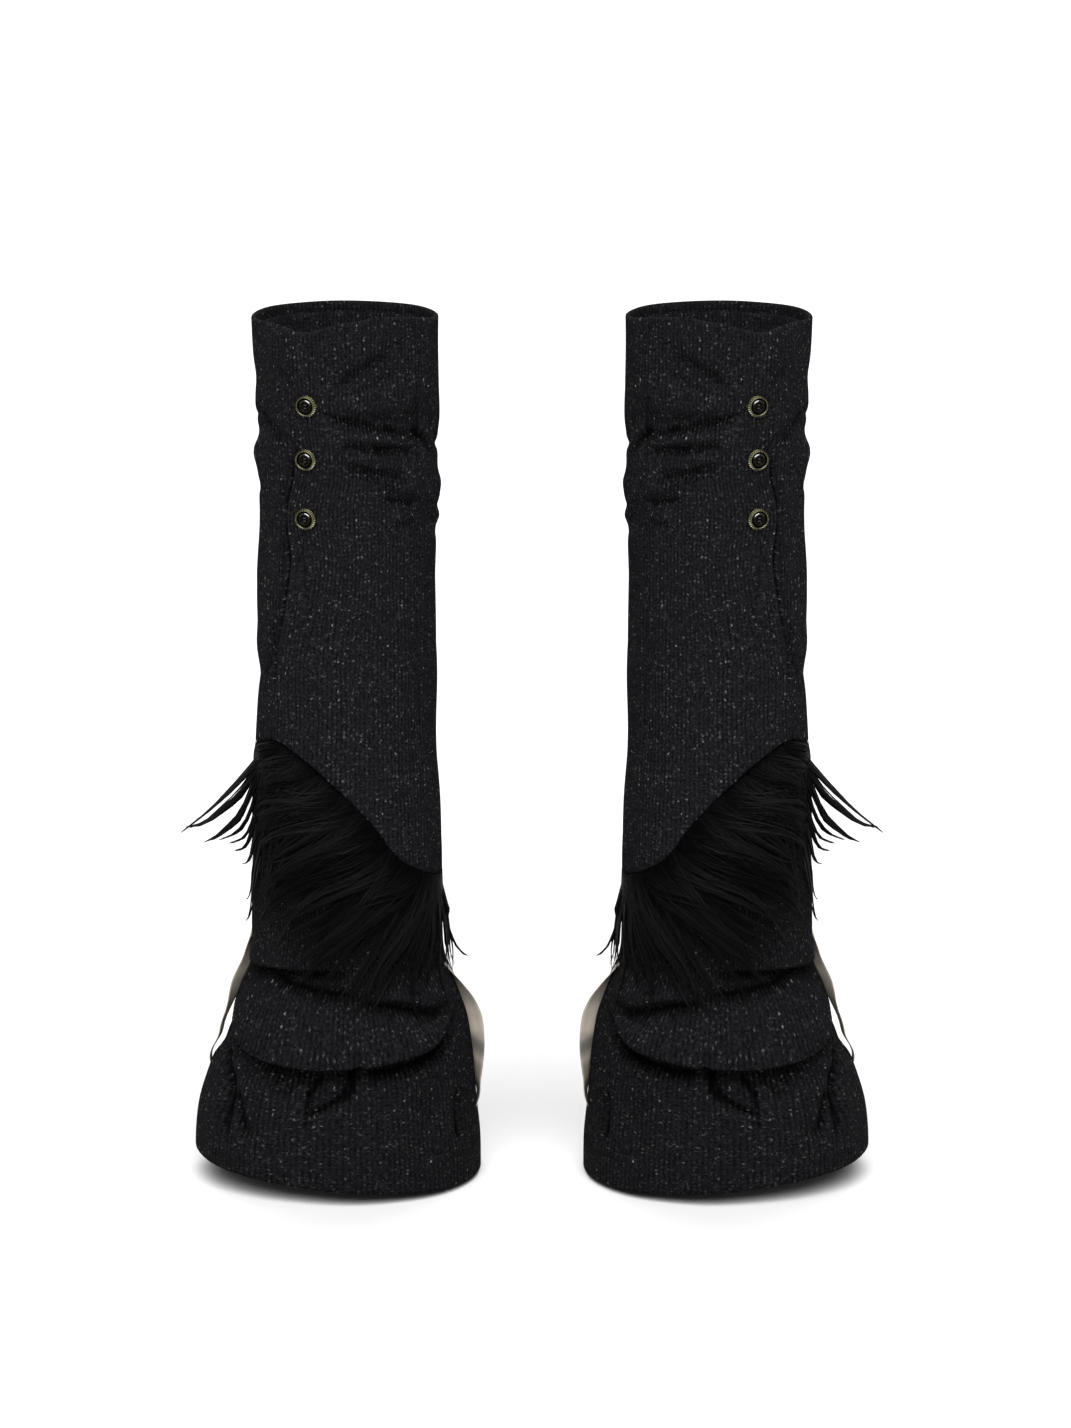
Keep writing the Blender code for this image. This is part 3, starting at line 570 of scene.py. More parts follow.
# Hair by the sine of the root's angle: slope below level at the root and at the tip, and length, of
# the flattest lock, and then of the steepest one
HAIR = (
    (-1, 80, 86, 74, 84, 88, 62), (-0.92, 62, 76, 70, 76, 86, 60), (-0.8, 34, 52, 60, 60, 82, 62),
    (-0.5, 18, 32, 66, 44, 72, 58), (-0.2, 14, 26, 84, 34, 60, 72), (0.1, 14, 26, 94, 32, 58, 84),
    (0.4, 16, 30, 98, 34, 62, 92), (0.65, 20, 36, 96, 40, 70, 94), (0.85, 28, 48, 90, 52, 80, 90),
    (0.95, 46, 68, 74, 74, 87, 76), (1, 82, 88, 56, 87, 89, 64),
)
LOCKS = 160
STRANDS_A_LOCK = 27
LOCK_STEPS = 24
LOCK_WAVE = 5.5  # radians of a wave along a lock
LOCK_BEND = 15.0  # degrees by which a lock may bend away from its slopes
LOCK_LENGTHS = (0.82, 1.08)  # to the table's
LOCK_OFF = (1.0, 2.6, 1.2)  # least distance from the cloth, more of the flattest, and at random
STRAND_RINGS = 7
STRAND_SIDES = 3
STRAND_RADIUS = 0.35
STRAND_SIZES = (0.65, 1.25)
STRAND_LENGTHS = (0.55, 1.0)  # to the lock's
ROOT_DEPTHS = (0.5, 13.0)  # of a hair's root below the slanted edge
SIDE_ROOT_DEPTHS = (9.5, 13.5)  # of the same for the wisps at the sides
EDGE_ON = (0.8, 1.0)  # sines between which the roots come to face the side
EDGE_THINNER = 0.3  # how much thinner the locks that are rooted there are
SIDE_CLOSER = 0.85  # how much closer to the cloth hair lies at the sides
SIDE_SLACK = 0.5  # how far beyond its least distance from the cloth a lock at a side may lie
STEEP_PAINTED_SHADE = 0.35  # painted shade: how much darker the steep hair on the long side is
HAIR_OVER_FOLDS = (3.5, 140.0, 165.0)  # further off below these heights, over the tier's folds
STRAYS = 0.16  # part of the strands that stray from their lock
STRAY_FURTHER = 1.6  # how much further from its middle they lie, as a part of the usual
SHADE_SPAN = 0.2  # a strand's shade of 1 on the texture
STRIP_WIDTH = 14.0  # of the backing that the hair is rooted in
STRIP_INSETS = (0.3, 2.15)

# Wisps placed one by one. Columns at the sides: angle of the root, depth behind the side's middle at the
# tip, number of strands, their spread at the widest, and then places, each to the viewer's right of
# the axis and up. Those over the front have the same columns without the depth.
SIDE_WISPS = (
    (-74, -6, 6, 0.5, -42, 243, -51, 239, -58, 234, -64, 228, -72, 223),
    (-78, -8, 30, 2.2, -42, 240, -52, 235, -61, 229, -69, 223, -76, 217, -85, 210, -94, 203),
    (-72, -3, 12, 1, -42, 238, -52, 229, -61, 223, -70, 217, -80, 209, -90, 204),
    (-90, 5, 24, 2, -48, 236, -54, 223, -61, 218, -69, 213, -76, 208, -84, 204, -92, 203),
    (-68, -6, 18, 2, -43, 230, -52, 218, -59, 211, -67, 206, -75, 200, -81, 197),
    (-84, 2, 16, 1.3, -46, 226, -53, 212, -59, 206, -67, 202, -74, 198, -78, 196),
    (-66, -4, 14, 1.4, -42, 220, -51, 209, -58, 204, -65, 201, -73, 198),
    (-58, -8, 14, 1.2, -38, 214, -50, 205, -58, 200, -67, 197),
    (-56, -9, 12, 1.1, -36, 208, -50, 199, -57, 195, -64, 193),
    (-54, -9, 9, 0.9, -36, 202, -50, 191, -55, 187, -60, 185),
    (-50, -9, 3, 0.5, -34, 190, -51, 172, -55, 167, -58, 164),
    (-48, -9, 3, 0.5, -34, 182, -51, 160, -55, 155, -58, 152),
    (88, -2, 16, 1, 50, 172, 53.5, 162, 55.5, 157, 54.5, 150, 57, 144, 60, 136, 64, 131, 68, 129),
    (92, 3, 14, 0.9, 50, 170, 54, 158, 56, 146, 58, 138, 59, 130, 58.5, 118),
    (84, -5, 8, 0.7, 49, 172, 53, 160, 55.2, 155, 53.5, 149, 54.5, 140),
)
FRONT_WISPS = (
    (56, 14, 1.6, 42, 176, 34, 160, 24, 146, 14, 130, 8, 117, 4, 108),
    (50, 14, 1.8, 38, 182, 28, 164, 16, 148, 6, 134, -2, 122, -6, 117),
    (44, 12, 1.6, 34, 190, 22, 168, 8, 150, -4, 138, -14, 128, -20, 124),
    (62, 14, 1.6, 44, 174, 40, 158, 32, 142, 24, 128, 17, 116, 13, 111),
    (38, 12, 1.6, 30, 196, 14, 174, -2, 158, -16, 146, -28, 136, -34, 131),
    (66, 12, 1.5, 47, 170, 45, 156, 41, 142, 38, 130, 35, 118),
    (74, 12, 1.4, 50, 168, 50, 154, 48, 142, 46, 132, 45, 122),
    (30, 10, 1.5, 24, 204, 8, 182, -10, 168, -26, 158, -38, 152),
    (22, 10, 1.5, 18, 210, 0, 192, -20, 180, -36, 172, -46, 170),
    (14, 10, 1.5, 12, 218, -8, 202, -26, 192, -40, 186, -49, 183),
    (6, 12, 1.2, 4, 226, -16, 208, -34, 196, -48, 190),
    (18, 12, 1.3, 15, 213, -6, 195, -26, 180, -40, 171, -48, 166),
    (26, 12, 1.3, 21, 207, 2, 187, -18, 172, -32, 163, -44, 158),
    (34, 12, 1.3, 27, 200, 10, 179, -8, 163, -24, 152, -36, 146),
    (42, 12, 1.4, 33, 192, 18, 170, 2, 154, -12, 143, -22, 137),
    (2, 10, 1.2, 0, 232, -20, 212, -37, 199, -49, 193),
    (-10, 10, 1.2, -8, 238, -24, 220, -38, 209, -49, 203),
    (-24, 10, 1.2, -20, 246, -34, 231, -44, 220, -50, 212),
    (-40, 10, 1.3, -31, 252, -40, 236, -46, 221, -49, 205),
    (-52, 10, 1.2, -39, 254, -44, 232, -47, 208, -48, 186),
    (-30, 10, 1.2, -24, 246, -33, 222, -40, 198, -45, 176),
    (20, 10, 2.4, 16, 212, -4, 190, -24, 172, -40, 160, -49, 156),
    (28, 10, 2.2, 22, 205, 2, 180, -18, 162, -36, 150, -46, 146),
    (12, 10, 2.4, 10, 219, -12, 198, -32, 182, -48, 174),
    (-44, 10, 2, -34, 254, -42, 228, -46, 200, -48, 172),
    (-36, 8, 2, -29, 248, -38, 222, -43, 194, -46, 164),
    (-16, 8, 2, -14, 240, -28, 212, -38, 188, -44, 166),
    (70, 12, 1.5, 48, 174, 47, 160, 46, 148, 43, 136, 40, 126),
    (80, 12, 1.5, 50, 172, 51, 158, 50, 146, 49, 136, 47, 128),
)
FRONT_WISP_THICKER = 1.35  # strands of wisps, to a lock's
SIDE_WISP_THICKER = 1.95
WISP_OFF = (1.0, 5.5)  # how far a wisp over the front lies off the smooth cloth, root and tip
WISP_LENGTHS = (0.88, 1.08)  # to the way through its places
WISP_ROOTS = 6.0  # degrees to either side over which its strands are rooted


def cloth_place(point):
    """Angle of a point about the axis, and its distance out from the smooth cloth at its height."""
    left, right, depth = section(point[..., 2])
    x, y = point[..., 0], point[..., 1]
    reach = np.where(x < 0, left, right)
    out = np.hypot(x / reach, y / depth)
    return np.degrees(np.arctan2(x / reach, -y / depth)), (out - 1) * np.hypot(x, y) / out


def leftward(angle):
    """Level direction along the cloth to the viewer's left, in front and behind alike."""
    turn = np.radians(angle)
    way = np.where(np.cos(turn) > 0, -1.0, 1.0)
    return unit(joined(np.cos(turn), 0.85 * np.sin(turn), 0.0)) * way[..., None]


def outward(point):
    """Level direction from the axis to a point."""
    return unit(point * (1.0, 1.0, 0.0))


def closeness(side):
    """How much of its distance from the cloth hair keeps, by the sine of its angle."""
    return 1 - SIDE_CLOSER * ease(np.abs(side), 0.75, 1.0)


def between(limits, part):
    return limits[0] + (limits[1] - limits[0]) * part


def lock_paths(chance):
    """Middle line of every lock, as it falls to the left over the cloth and off it at the side."""
    root = (np.arange(LOCKS) + chance.uniform(-0.4, 0.4, LOCKS)) * 360 / LOCKS - 180
    flat = np.clip(chance.permutation(np.linspace(0, 1.25, LOCKS)), 0, 1)
    depth = between(ROOT_DEPTHS, (1 - flat) * chance.uniform(0.4, 1, LOCKS))
    columns = curves(HAIR, sideways(root))
    start, end, length = columns[3:] + (columns[:3] - columns[3:]) * flat
    length = length * chance.uniform(*LOCK_LENGTHS, LOCKS)
    wave, bow = chance.uniform(-LOCK_BEND, LOCK_BEND, (2, LOCKS))
    edge_on = ease(np.abs(sideways(root)), *EDGE_ON)
    least, of_flat, uneven = LOCK_OFF
    keep_off = (least + of_flat * flat + chance.uniform(0, uneven, LOCKS)) * (1 - 0.9 * edge_on)
    over, low_end, high_end = HAIR_OVER_FOLDS
    point = layer(root, slant_height(root) - depth, (), -0.2)
    heading = leftward(root)
    line = [point]
    for t in (np.arange(LOCK_STEPS) + 0.5) / LOCK_STEPS:
        slope = np.radians(start + (end - start) * t + wave * np.sin(LOCK_WAVE * t) + bow * t * (1 - t))
        step = heading * np.cos(slope)[:, None]
        step[:, 2] = -np.sin(slope)
        point = point + step * (length / LOCK_STEPS)[:, None]
        angle, off = cloth_place(point)
        side = sideways(angle)
        needed = 0.2 + keep_off * closeness(side) * ease(t, 0.0, 0.3)
        needed += over * ease(point[:, 2], high_end, low_end)
        too_far = np.maximum(off - needed - SIDE_SLACK, 0.0) * ease(np.abs(side), 0.6, 0.9)
        point = point + outward(point) * (np.maximum(needed - off, 0.0) - too_far)[:, None]
        follow = (0.5 + 0.3 * ease(side, -1.0, -0.7))[:, None]
        heading = unit(heading * (1 - follow) + leftward(angle) * follow)
        line.append(point)
    return np.stack(line, axis=1), root, edge_on


def sample(line, at):
    """Points of each line at parts 0 to 1 of its run; line is lines by points by 3."""
    place = np.clip(at, 0, 1) * (line.shape[1] - 1)
    low = np.minimum(place.astype(int), line.shape[1] - 2)
    part = (place - low)[..., None]
    row = np.arange(len(line))[:, None]
    return line[row, low] * (1 - part) + line[row, low + 1] * part


def strand_paths(chance):
    """Points of every strand of the locks, root to tip: strands by points by 3."""
    line, root, edge_on = lock_paths(chance)
    owner = np.repeat(np.arange(LOCKS), STRANDS_A_LOCK)
    count = len(owner)
    t = np.linspace(0, 1, STRAND_RINGS + 1)[None, :]
    path = sample(line[owner], t * chance.uniform(*STRAND_LENGTHS, (count, 1)) ** 0.6)
    away = outward(path)
    across = unit(np.cross(away, unit(np.gradient(path, axis=1))))
    edge_on = edge_on[owner][:, None]
    stray = 1 + np.where(chance.random((count, 1)) < STRAYS, STRAY_FURTHER, 0.0) * (1 - edge_on)
    turn = chance.uniform(0, 2 * math.pi, (count, 1))
    far = chance.uniform(0, 1, (count, 1)) ** 0.5 * (1 - EDGE_THINNER * edge_on)
    thick = (1.6 + 1.7 * np.sin(math.pi * np.minimum(t * 1.2, 1)) - 1.2 * t) * far
    wave = chance.uniform(0.15, 0.8, (count, 1)) * np.sin(4.5 * t + turn * 3) * t * stray
    path = path + across * (np.cos(turn) * thick * stray * (1 + 1.2 * (1 - t) ** 3) + wave)[..., None]
    close = closeness(sideways(cloth_place(path)[0]))
    path = path + away * ((1 + np.sin(turn)) * thick * 0.85 * close * ease(t, 0, 0.3))[..., None]
    start = root[owner] + chance.uniform(-0.7, 0.7, count) * 360 / LOCKS
    rooted = layer(start, slant_height(start) - chance.uniform(*ROOT_DEPTHS, count), (), -0.1)
    return path + (rooted - path[:, 0])[:, None] * ((1 - t) ** 2.2)[..., None], owner


def front_depth(x, z, t):
    """Depth of the front's smooth cloth at places, less the distance that a wisp keeps off it."""
    left, right, depth = section(z)
    side = np.clip(np.abs(x) / np.where(x < 0, left, right), 0, 0.98)
    return -depth * np.sqrt(1 - side ** 2) - between(WISP_OFF, t)


def wisp_paths(chance):
    """Points of the strands of the wisps, with their owners and how thick they are."""
    paths = []
    owners = []
    thickness = []
    t = np.linspace(0, 1, STRAND_RINGS + 1)
    front = [(root, None, *rest) for root, *rest in FRONT_WISPS]
    for number, (root, behind, strands, spread, *places) in enumerate([*SIDE_WISPS, *front]):
        places = np.reshape(places, (-1, 2))
        steps = np.linspace(0, 1, len(places))
        first = layer(root, places[0, 1], (), -0.5)[1]
        for _ in range(strands):
            at = t * chance.uniform(*WISP_LENGTHS)
            x, z = (np.interp(at, steps, places[:, k]) for k in (0, 1))
            turn = chance.uniform(0, 2 * math.pi)
            swelling = 0.25 + 0.75 * np.sin(math.pi * np.minimum(t * 1.3, 1))
            wide = spread * chance.uniform(0, 1) ** 0.6 * swelling
            drift = chance.uniform(-0.5, 0.5) * np.sin(5 * t + turn) * t
            across, back = np.cos(turn) * wide, np.sin(turn) * wide
            if behind is None:
                middle = joined(x, front_depth(x, z, t), z)
                offset = joined(0.8 * across + drift, 0.4 * (back - wide), 0.5 * across)
                depths, thicker = ROOT_DEPTHS, FRONT_WISP_THICKER
            else:
                middle = joined(x, np.interp(t, (0, 0.25, 1), (first, first * 0.8, behind)), z)
                offset = joined(0.35 * across, back, across + drift)
                depths, thicker = SIDE_ROOT_DEPTHS, SIDE_WISP_THICKER
            angle = root + chance.uniform(-WISP_ROOTS, WISP_ROOTS)
            origin = layer(angle, slant_height(angle) - chance.uniform(*depths), (), -0.1)
            path = middle + offset
            paths.append(path + (origin - path[0]) * ((1 - t) ** 2.8)[:, None])
            owners.append(LOCKS + number)
            thickness.append(thicker)
    return np.array(paths), np.array(owners), np.array(thickness)


def make_fur(material):
    chance = np.random.default_rng(7)
    path, owner = strand_paths(chance)
    wisps, wisp_owner, thicker = wisp_paths(chance)
    point = np.concatenate([path, wisps])
    owner = np.concatenate([owner, wisp_owner])
    count = len(point)
    ahead = unit(np.gradient(point, axis=1))
    across = unit(np.cross(point * (1.0, 1.0, 0.0) + (0.0, 0.0, 45.0), ahead))
    up = np.cross(ahead, across)
    t = np.linspace(0, 1, STRAND_RINGS + 1)
    size = chance.uniform(*STRAND_SIZES, (count, 1, 1))
    size *= np.concatenate([np.ones(len(path)), thicker])[:, None, None]
    radius = (STRAND_RADIUS * (1 - t) ** 0.5)[None, :, None] * size
    turns = 2 * math.pi * np.arange(STRAND_SIDES) / STRAND_SIDES + math.pi / 6
    rings = [point + (math.cos(turn) * across + math.sin(turn) * up) * radius for turn in turns]
    rings = np.stack(rings, axis=2)[:, :-1].reshape(count, -1, 3)
    vertices = np.concatenate([rings, point[:, -1:]], axis=1).reshape(-1, 3)
    per = STRAND_RINGS * STRAND_SIDES + 1
    sides = range(STRAND_SIDES)
    one = grid_faces(np.arange(per - 1).reshape(STRAND_RINGS, STRAND_SIDES), True)
    last = per - 1 - STRAND_SIDES
    one += [(last + k, last + (k + 1) % STRAND_SIDES, per - 1) for k in sides] + [tuple(sides)[::-1]]
    faces = [tuple(s * per + k for k in face) for s in range(count) for face in one]
    lock_shade = chance.random(owner.max() + 1)
    shade = np.clip(lock_shade[owner] * 0.6 + chance.random(count) * 0.4, 0, 1)
    # painted shade on the steep hair
    shade *= 1 - STEEP_PAINTED_SHADE * ease(cloth_place(point[:, 0])[0], 5.0, 55.0)
    along = np.append(np.repeat(t[:-1], STRAND_SIDES), 1.0)
    uv = joined(shade[:, None] * SHADE_SPAN, along).reshape(-1, 2)
    strip, strip_faces = backing_strip()
    faces += [tuple(k + len(vertices) for k in face) for face in strip_faces]
    vertices = np.concatenate([vertices, strip])
    uv = np.concatenate([uv, np.zeros((len(strip), 2))])
    return make_pair("fur", to_frame(vertices), faces, [material], ["fur_front", "fur_back"], uv)


def backing_strip():
    """The band that the hair is rooted in, under the slanted edge all the way round."""
    line = np.arange(0.0, 360.0, 3.0)
    top = slant_height(line) - 1.2
    low = top - STRIP_WIDTH
    outer, inner = STRIP_INSETS
    corners = ((top, outer), (low, outer), (low, inner), (top, inner))
    points = np.concatenate([layer(line, height, (), inset) for height, inset in corners])
    index = np.arange(len(points)).reshape(4, -1)
    return points, grid_faces(np.vstack([index, index[:1]]), True)


# Profile of the metal ring: radius, height
RING_PROFILE = (
    (4.25, 0.1), (5.5, 0.05), (6.1, 0.25), (6.25, 0.7), (6.1, 1.15), (5.85, 1.55), (5.6, 1.95), (5.35, 2.3),
    (5.1, 2.5), (4.9, 2.5), (4.65, 2.25), (4.45, 1.85), (4.3, 1.3), (4.25, 0.8),
)
RING_DARK_FROM = 11  # the first point of the profile on the ring's dark inner side
RING_SIDES = 112
RING_NOTCHES = 28
NOTCH_RADIUS = 5.65  # where the notches are deepest
NOTCH_REACH = 0.85
NOTCH_DEPTH = 0.42
RING_WEAR_AND_REFLECTION_SPAN = 0.1  # a value of 1 of the ridges' wear with painted highlight and reflection, on the texture
RING_HEIGHT_SPAN = 3.0  # millimetres of height to 1 on the texture

# Profile of the centre: radius, height
CENTRE_PROFILE = (
    (0, 0.2), (2.5, 0.2), (3.8, 0.25), (4.02, 0.8), (3.98, 1.35), (3.75, 1.85), (3.4, 2.2), (3, 2.42),
    (2.6, 2.5), (2.3, 2.4), (2.1, 2.15), (1.95, 1.9), (1.75, 1.8), (1.5, 1.78), (1.2, 1.78), (0.9, 1.78),
    (0.6, 1.78), (0.3, 1.78), (0, 1.78),
)
CENTRE_SIDES = 40
# faces of the centre's upper arc, the only glossy ones: a painted highlight shows only there
HIGHLIGHT_BANDS = range(5, 7)
HIGHLIGHT_SIDES = range(2, 17)
HOLE_APART = 1.15  # from the button's middle to a hole's middle
HOLE_RADIUS = 0.62
HOLE_DEPTH = 1.0
THREAD_RADIUS = 0.1
THREAD_SIDES = 5
THREAD_STRANDS = (-0.17, 0.0, 0.17)
BUTTON_PLACES = ((-21.8, 453.7), (-22.8, 423.8), (-23.9, 390.5))  # angle, height


def turned(profile, sides, shaped):
    """Solid turned about Z from a closed profile of (radius, height) points, where radius 0 is a
    pole. Each point is moved by the function shaped."""
    vertices = []
    rings = []
    for radius, height in profile:
        count = sides if radius else 1
        rings.append(range(len(vertices), len(vertices) + count))
        for k in range(count):
            turn = 2 * math.pi * k / sides
            vertices.append(shaped(radius * math.cos(turn), radius * math.sin(turn), height, k))
    faces = []
    for ring, following in zip(rings, rings[1:] + rings[:1]):
        if len(ring) + len(following) == 2:
            continue
        for k in range(sides):
            after = (k + 1) % sides
            loop = [ring[k % len(ring)], ring[after % len(ring)],
                    following[after % len(following)], following[k % len(following)]]
            faces.append(tuple(dict.fromkeys(loop)))
    return vertices, faces


def button_place(angle, height):
    """Matrix that stands a button on the cloth, in the frame."""
    lift = front_lift(angle)
    seat = layer(angle, height, WRAP_FOLDS, -lift - 0.2)
    facing = seat - layer(angle, height, WRAP_FOLDS, -lift)
    facing[2] = 0.0
    turn = Vector(facing).to_track_quat("Z", "Y").to_matrix().to_4x4()
    return Matrix.Translation(Vector(to_frame(seat))) @ turn


def crest(k):
    """1 at a side of the ring that is a crest between notches, and 0 at the bottom of a notch."""
    return 0.5 + 0.5 * math.cos(2 * math.pi * RING_NOTCHES * k / RING_SIDES)


def wear_and_painted_reflection(k):
    """How bright a side of the ring is: its ridges between notches, with wear and a painted highlight, and
    most of all at the bottom, with a painted reflection of the floor.
    """
    return crest(k) * (0.35 + 0.65 * float(ease(-math.sin(2 * math.pi * k / RING_SIDES), -0.3, 0.8)))


def milled(x, y, z, k):
    """Rope-like notches along the ring's shoulder."""
    near = max(0.0, 1 - abs(math.hypot(x, y) - NOTCH_RADIUS) / NOTCH_REACH) if z > 0.2 else 0.0
    notch = near * (1 - crest(k))
    inward = 1 - 0.045 * notch
    return x * inward, y * inward, z - NOTCH_DEPTH * notch


def pierced(x, y, z, k):
    """Four sewing holes in the centre's top."""
    away = math.hypot(abs(x) - HOLE_APART * 0.75, abs(y) - HOLE_APART * 0.75)
    if z > 1.6:
        z -= HOLE_DEPTH * float(ease(away, HOLE_RADIUS * 1.2, HOLE_RADIUS * 0.7))
    return x, y, z


def on_highlight_arc(face):
    """Whether a face of the centre is on the upper arc of its dome, the only part that gets the glossy
    material, for a painted highlight there.
    """
    return face // CENTRE_SIDES in HIGHLIGHT_BANDS and face % CENTRE_SIDES in HIGHLIGHT_SIDES


def thread_bars():
    """Two bars of sewing thread from hole to hole, three strands each."""
    vertices = []
    faces = []
    s = np.linspace(-1, 1, 9)
    turn = (2 * math.pi * np.arange(THREAD_SIDES) / THREAD_SIDES)[:, None]
    level = np.array((0.0, 1.0, 0.0))
    for side in (-1, 1):
        for strand in THREAD_STRANDS:
            line = joined(s * HOLE_APART * 0.8, side * HOLE_APART * 0.75 + strand, 1.5 + 0.62 * (1 - s ** 4))
            up = unit(np.cross(np.gradient(line, axis=0), level))[:, None]
            rings = line[:, None] + THREAD_RADIUS * (np.cos(turn) * level + np.sin(turn) * up)
            index = len(vertices) + np.arange(len(s) * THREAD_SIDES).reshape(len(s), THREAD_SIDES)
            vertices += rings.reshape(-1, 3).tolist()
            faces += grid_faces(index, True) + index[[0, -1]].tolist()
    return vertices, faces


def make_buttons(brass, blacks):
    """Rings and centres of the three buttons; blacks are the well's, the thread's and the materials of the
    dome's glossy upper arc, which is there for a painted highlight."""
    ring, ring_faces = turned(RING_PROFILE, RING_SIDES, milled)
    heights = [z if k < RING_DARK_FROM * RING_SIDES else 0.0 for k, (x, y, z) in enumerate(ring)]
    # wear with painted highlight on the ridges, and painted reflection that is strongest at the bottom
    ring_uv = [(RING_WEAR_AND_REFLECTION_SPAN * wear_and_painted_reflection(k % RING_SIDES), z / RING_HEIGHT_SPAN) for k, z in enumerate(heights)]
    centre, faces = turned(CENTRE_PROFILE, CENTRE_SIDES, pierced)
    bars, bar_faces = thread_bars()
    index = [2 if on_highlight_arc(face) else 0 for face in range(len(faces))] + [1] * len(bar_faces)
    faces += [tuple(k + len(centre) for k in face) for face in bar_faces]
    pairs = []
    for number, (angle, height) in enumerate(BUTTON_PLACES, start=1):
        place = button_place(angle, height)
        rim, middle = ([place @ (Vector(p) * MM) for p in points] for points in (ring, centre + bars))
        pairs.append(make_pair(f"button_{number}_rim", rim, ring_faces, [brass], uv=ring_uv))
        pairs.append(make_pair(f"button_{number}_centre", middle, faces, blacks,
                               material_index=index))
    return pairs


# Satin tapes: height, gap from the cloth to the tape's near edge, turn of its width away from the
# line of sight to the side, so that 90 degrees lies flat on the cloth, and shift to the back. A gap
# below 0 tucks the tape's end into the cloth.
TAPE_WIDTH = 9.0
TAPE_THICKNESS = 0.45
TAPE_ROWS = 60
TAPE_COLUMNS = 9
TAPE_WINDOW = 7  # a tape is taut over dents of the cloth this many of its rows long
TAPE_CURL = 0.7  # how much its bow comes and goes along its length
TAPE_BOW = 0.35
OUTER_TAPE = (
    (150, -2.6, 90, 3), (142, 0, 90, 2.6), (134, -0.6, 68, 2), (123, -1.2, 45, 0.6), (110, -0.6, 54, -1),
    (99, 2.6, 72, -2.2), (88, 3.4, 78, -2.4), (79, 1.4, 79, -1.6), (72, -0.4, 84, 0.2), (62, -2.6, 90, 2.4),
)
INNER_TAPE = (
    (126, -3.2, 90, -2), (119, -2.2, 76, -1.4), (113, -3, 52, 0), (103, -2.4, 24, 1.6), (94, -1.2, 16, 2),
    (80, -1.3, 24, 1.2), (68, -1.4, 44, 0), (57, -1.2, 64, -1.2), (48, -0.2, 80, -2), (38, -2.6, 90, -2.6),
)


def make_tape(name, table, angle, curl_start, material):
    """A ribbon at one side of the lower tier."""
    side = math.copysign(1.0, sideways(angle))
    z = np.linspace(table[0][0], table[-1][0], TAPE_ROWS)[:, None]
    gap, turn, shift = curves(table[::-1], z)
    cloth = np.abs(layer(np.full_like(z, angle), z, TIER_FOLDS + TIER_CREASES, 0.0)[:, 0, 0])
    padded = np.pad(cloth, TAPE_WINDOW - 1, "edge")
    highest = np.lib.stride_tricks.sliding_window_view(padded, TAPE_WINDOW).max(axis=1)
    cloth = np.convolve(highest, np.full(TAPE_WINDOW, 1 / TAPE_WINDOW), "valid")[:, None]
    columns = np.linspace(0, 1, TAPE_COLUMNS)
    across = np.append(columns, columns[::-1])
    thick = np.repeat((-0.5, 0.5), TAPE_COLUMNS) * TAPE_THICKNESS
    sine, cosine = np.sin(np.radians(turn)), np.cos(np.radians(turn))
    curl = TAPE_CURL * np.sin(np.arange(TAPE_ROWS) * 0.23 + curl_start)[:, None] + 0.5
    off = thick + curl * (1 - (2 * across - 1) ** 2) * sine ** 0.5 * TAPE_BOW
    across = across * TAPE_WIDTH
    x = side * (cloth + gap + 0.5 * sine + cosine * across + sine * off)
    y = TAPE_WIDTH / 2 * sine ** 2 + shift - sine * across + cosine * off
    points = joined(x, y, z)
    index = np.arange(x.size).reshape(x.shape)
    faces = grid_faces(index, True)
    for row in (index[0], index[-1]):
        faces += grid_faces(np.stack([row[:TAPE_COLUMNS], row[:TAPE_COLUMNS - 1:-1]], axis=1), False)
    uv = joined(across, z).reshape(-1, 2) / TEXTURE_SPAN
    return make_pair(name, to_frame(points.reshape(-1, 3)), faces, [material], uv=uv)


class Value:
    """An output of a shader node. Arithmetic on it adds math nodes, so that formulas read as usual."""

    def __init__(self, shade, socket):
        self.shade = shade
        self.socket = socket

    def math(self, operation, *others):
        return self.shade.math(operation, self, *others)

    __add__ = partialmethod(math, "ADD")
    __sub__ = partialmethod(math, "SUBTRACT")
    __mul__ = partialmethod(math, "MULTIPLY")
    __truediv__ = partialmethod(math, "DIVIDE")
    __pow__ = partialmethod(math, "POWER")
    __abs__ = partialmethod(math, "ABSOLUTE")

    def __rsub__(self, other):
        return self.shade.math("SUBTRACT", other, self)

    def smooth(self, start, end, low=0.0, high=1.0):
        """low before start, high after end, smooth between; end may be below start."""
        inputs = {"Value": self, "From Min": start, "From Max": end, "To Min": low, "To Max": high}
        made = self.shade.node("MapRange", inputs, interpolation_type="SMOOTHSTEP")
        return Value(self.shade, made.outputs[0])


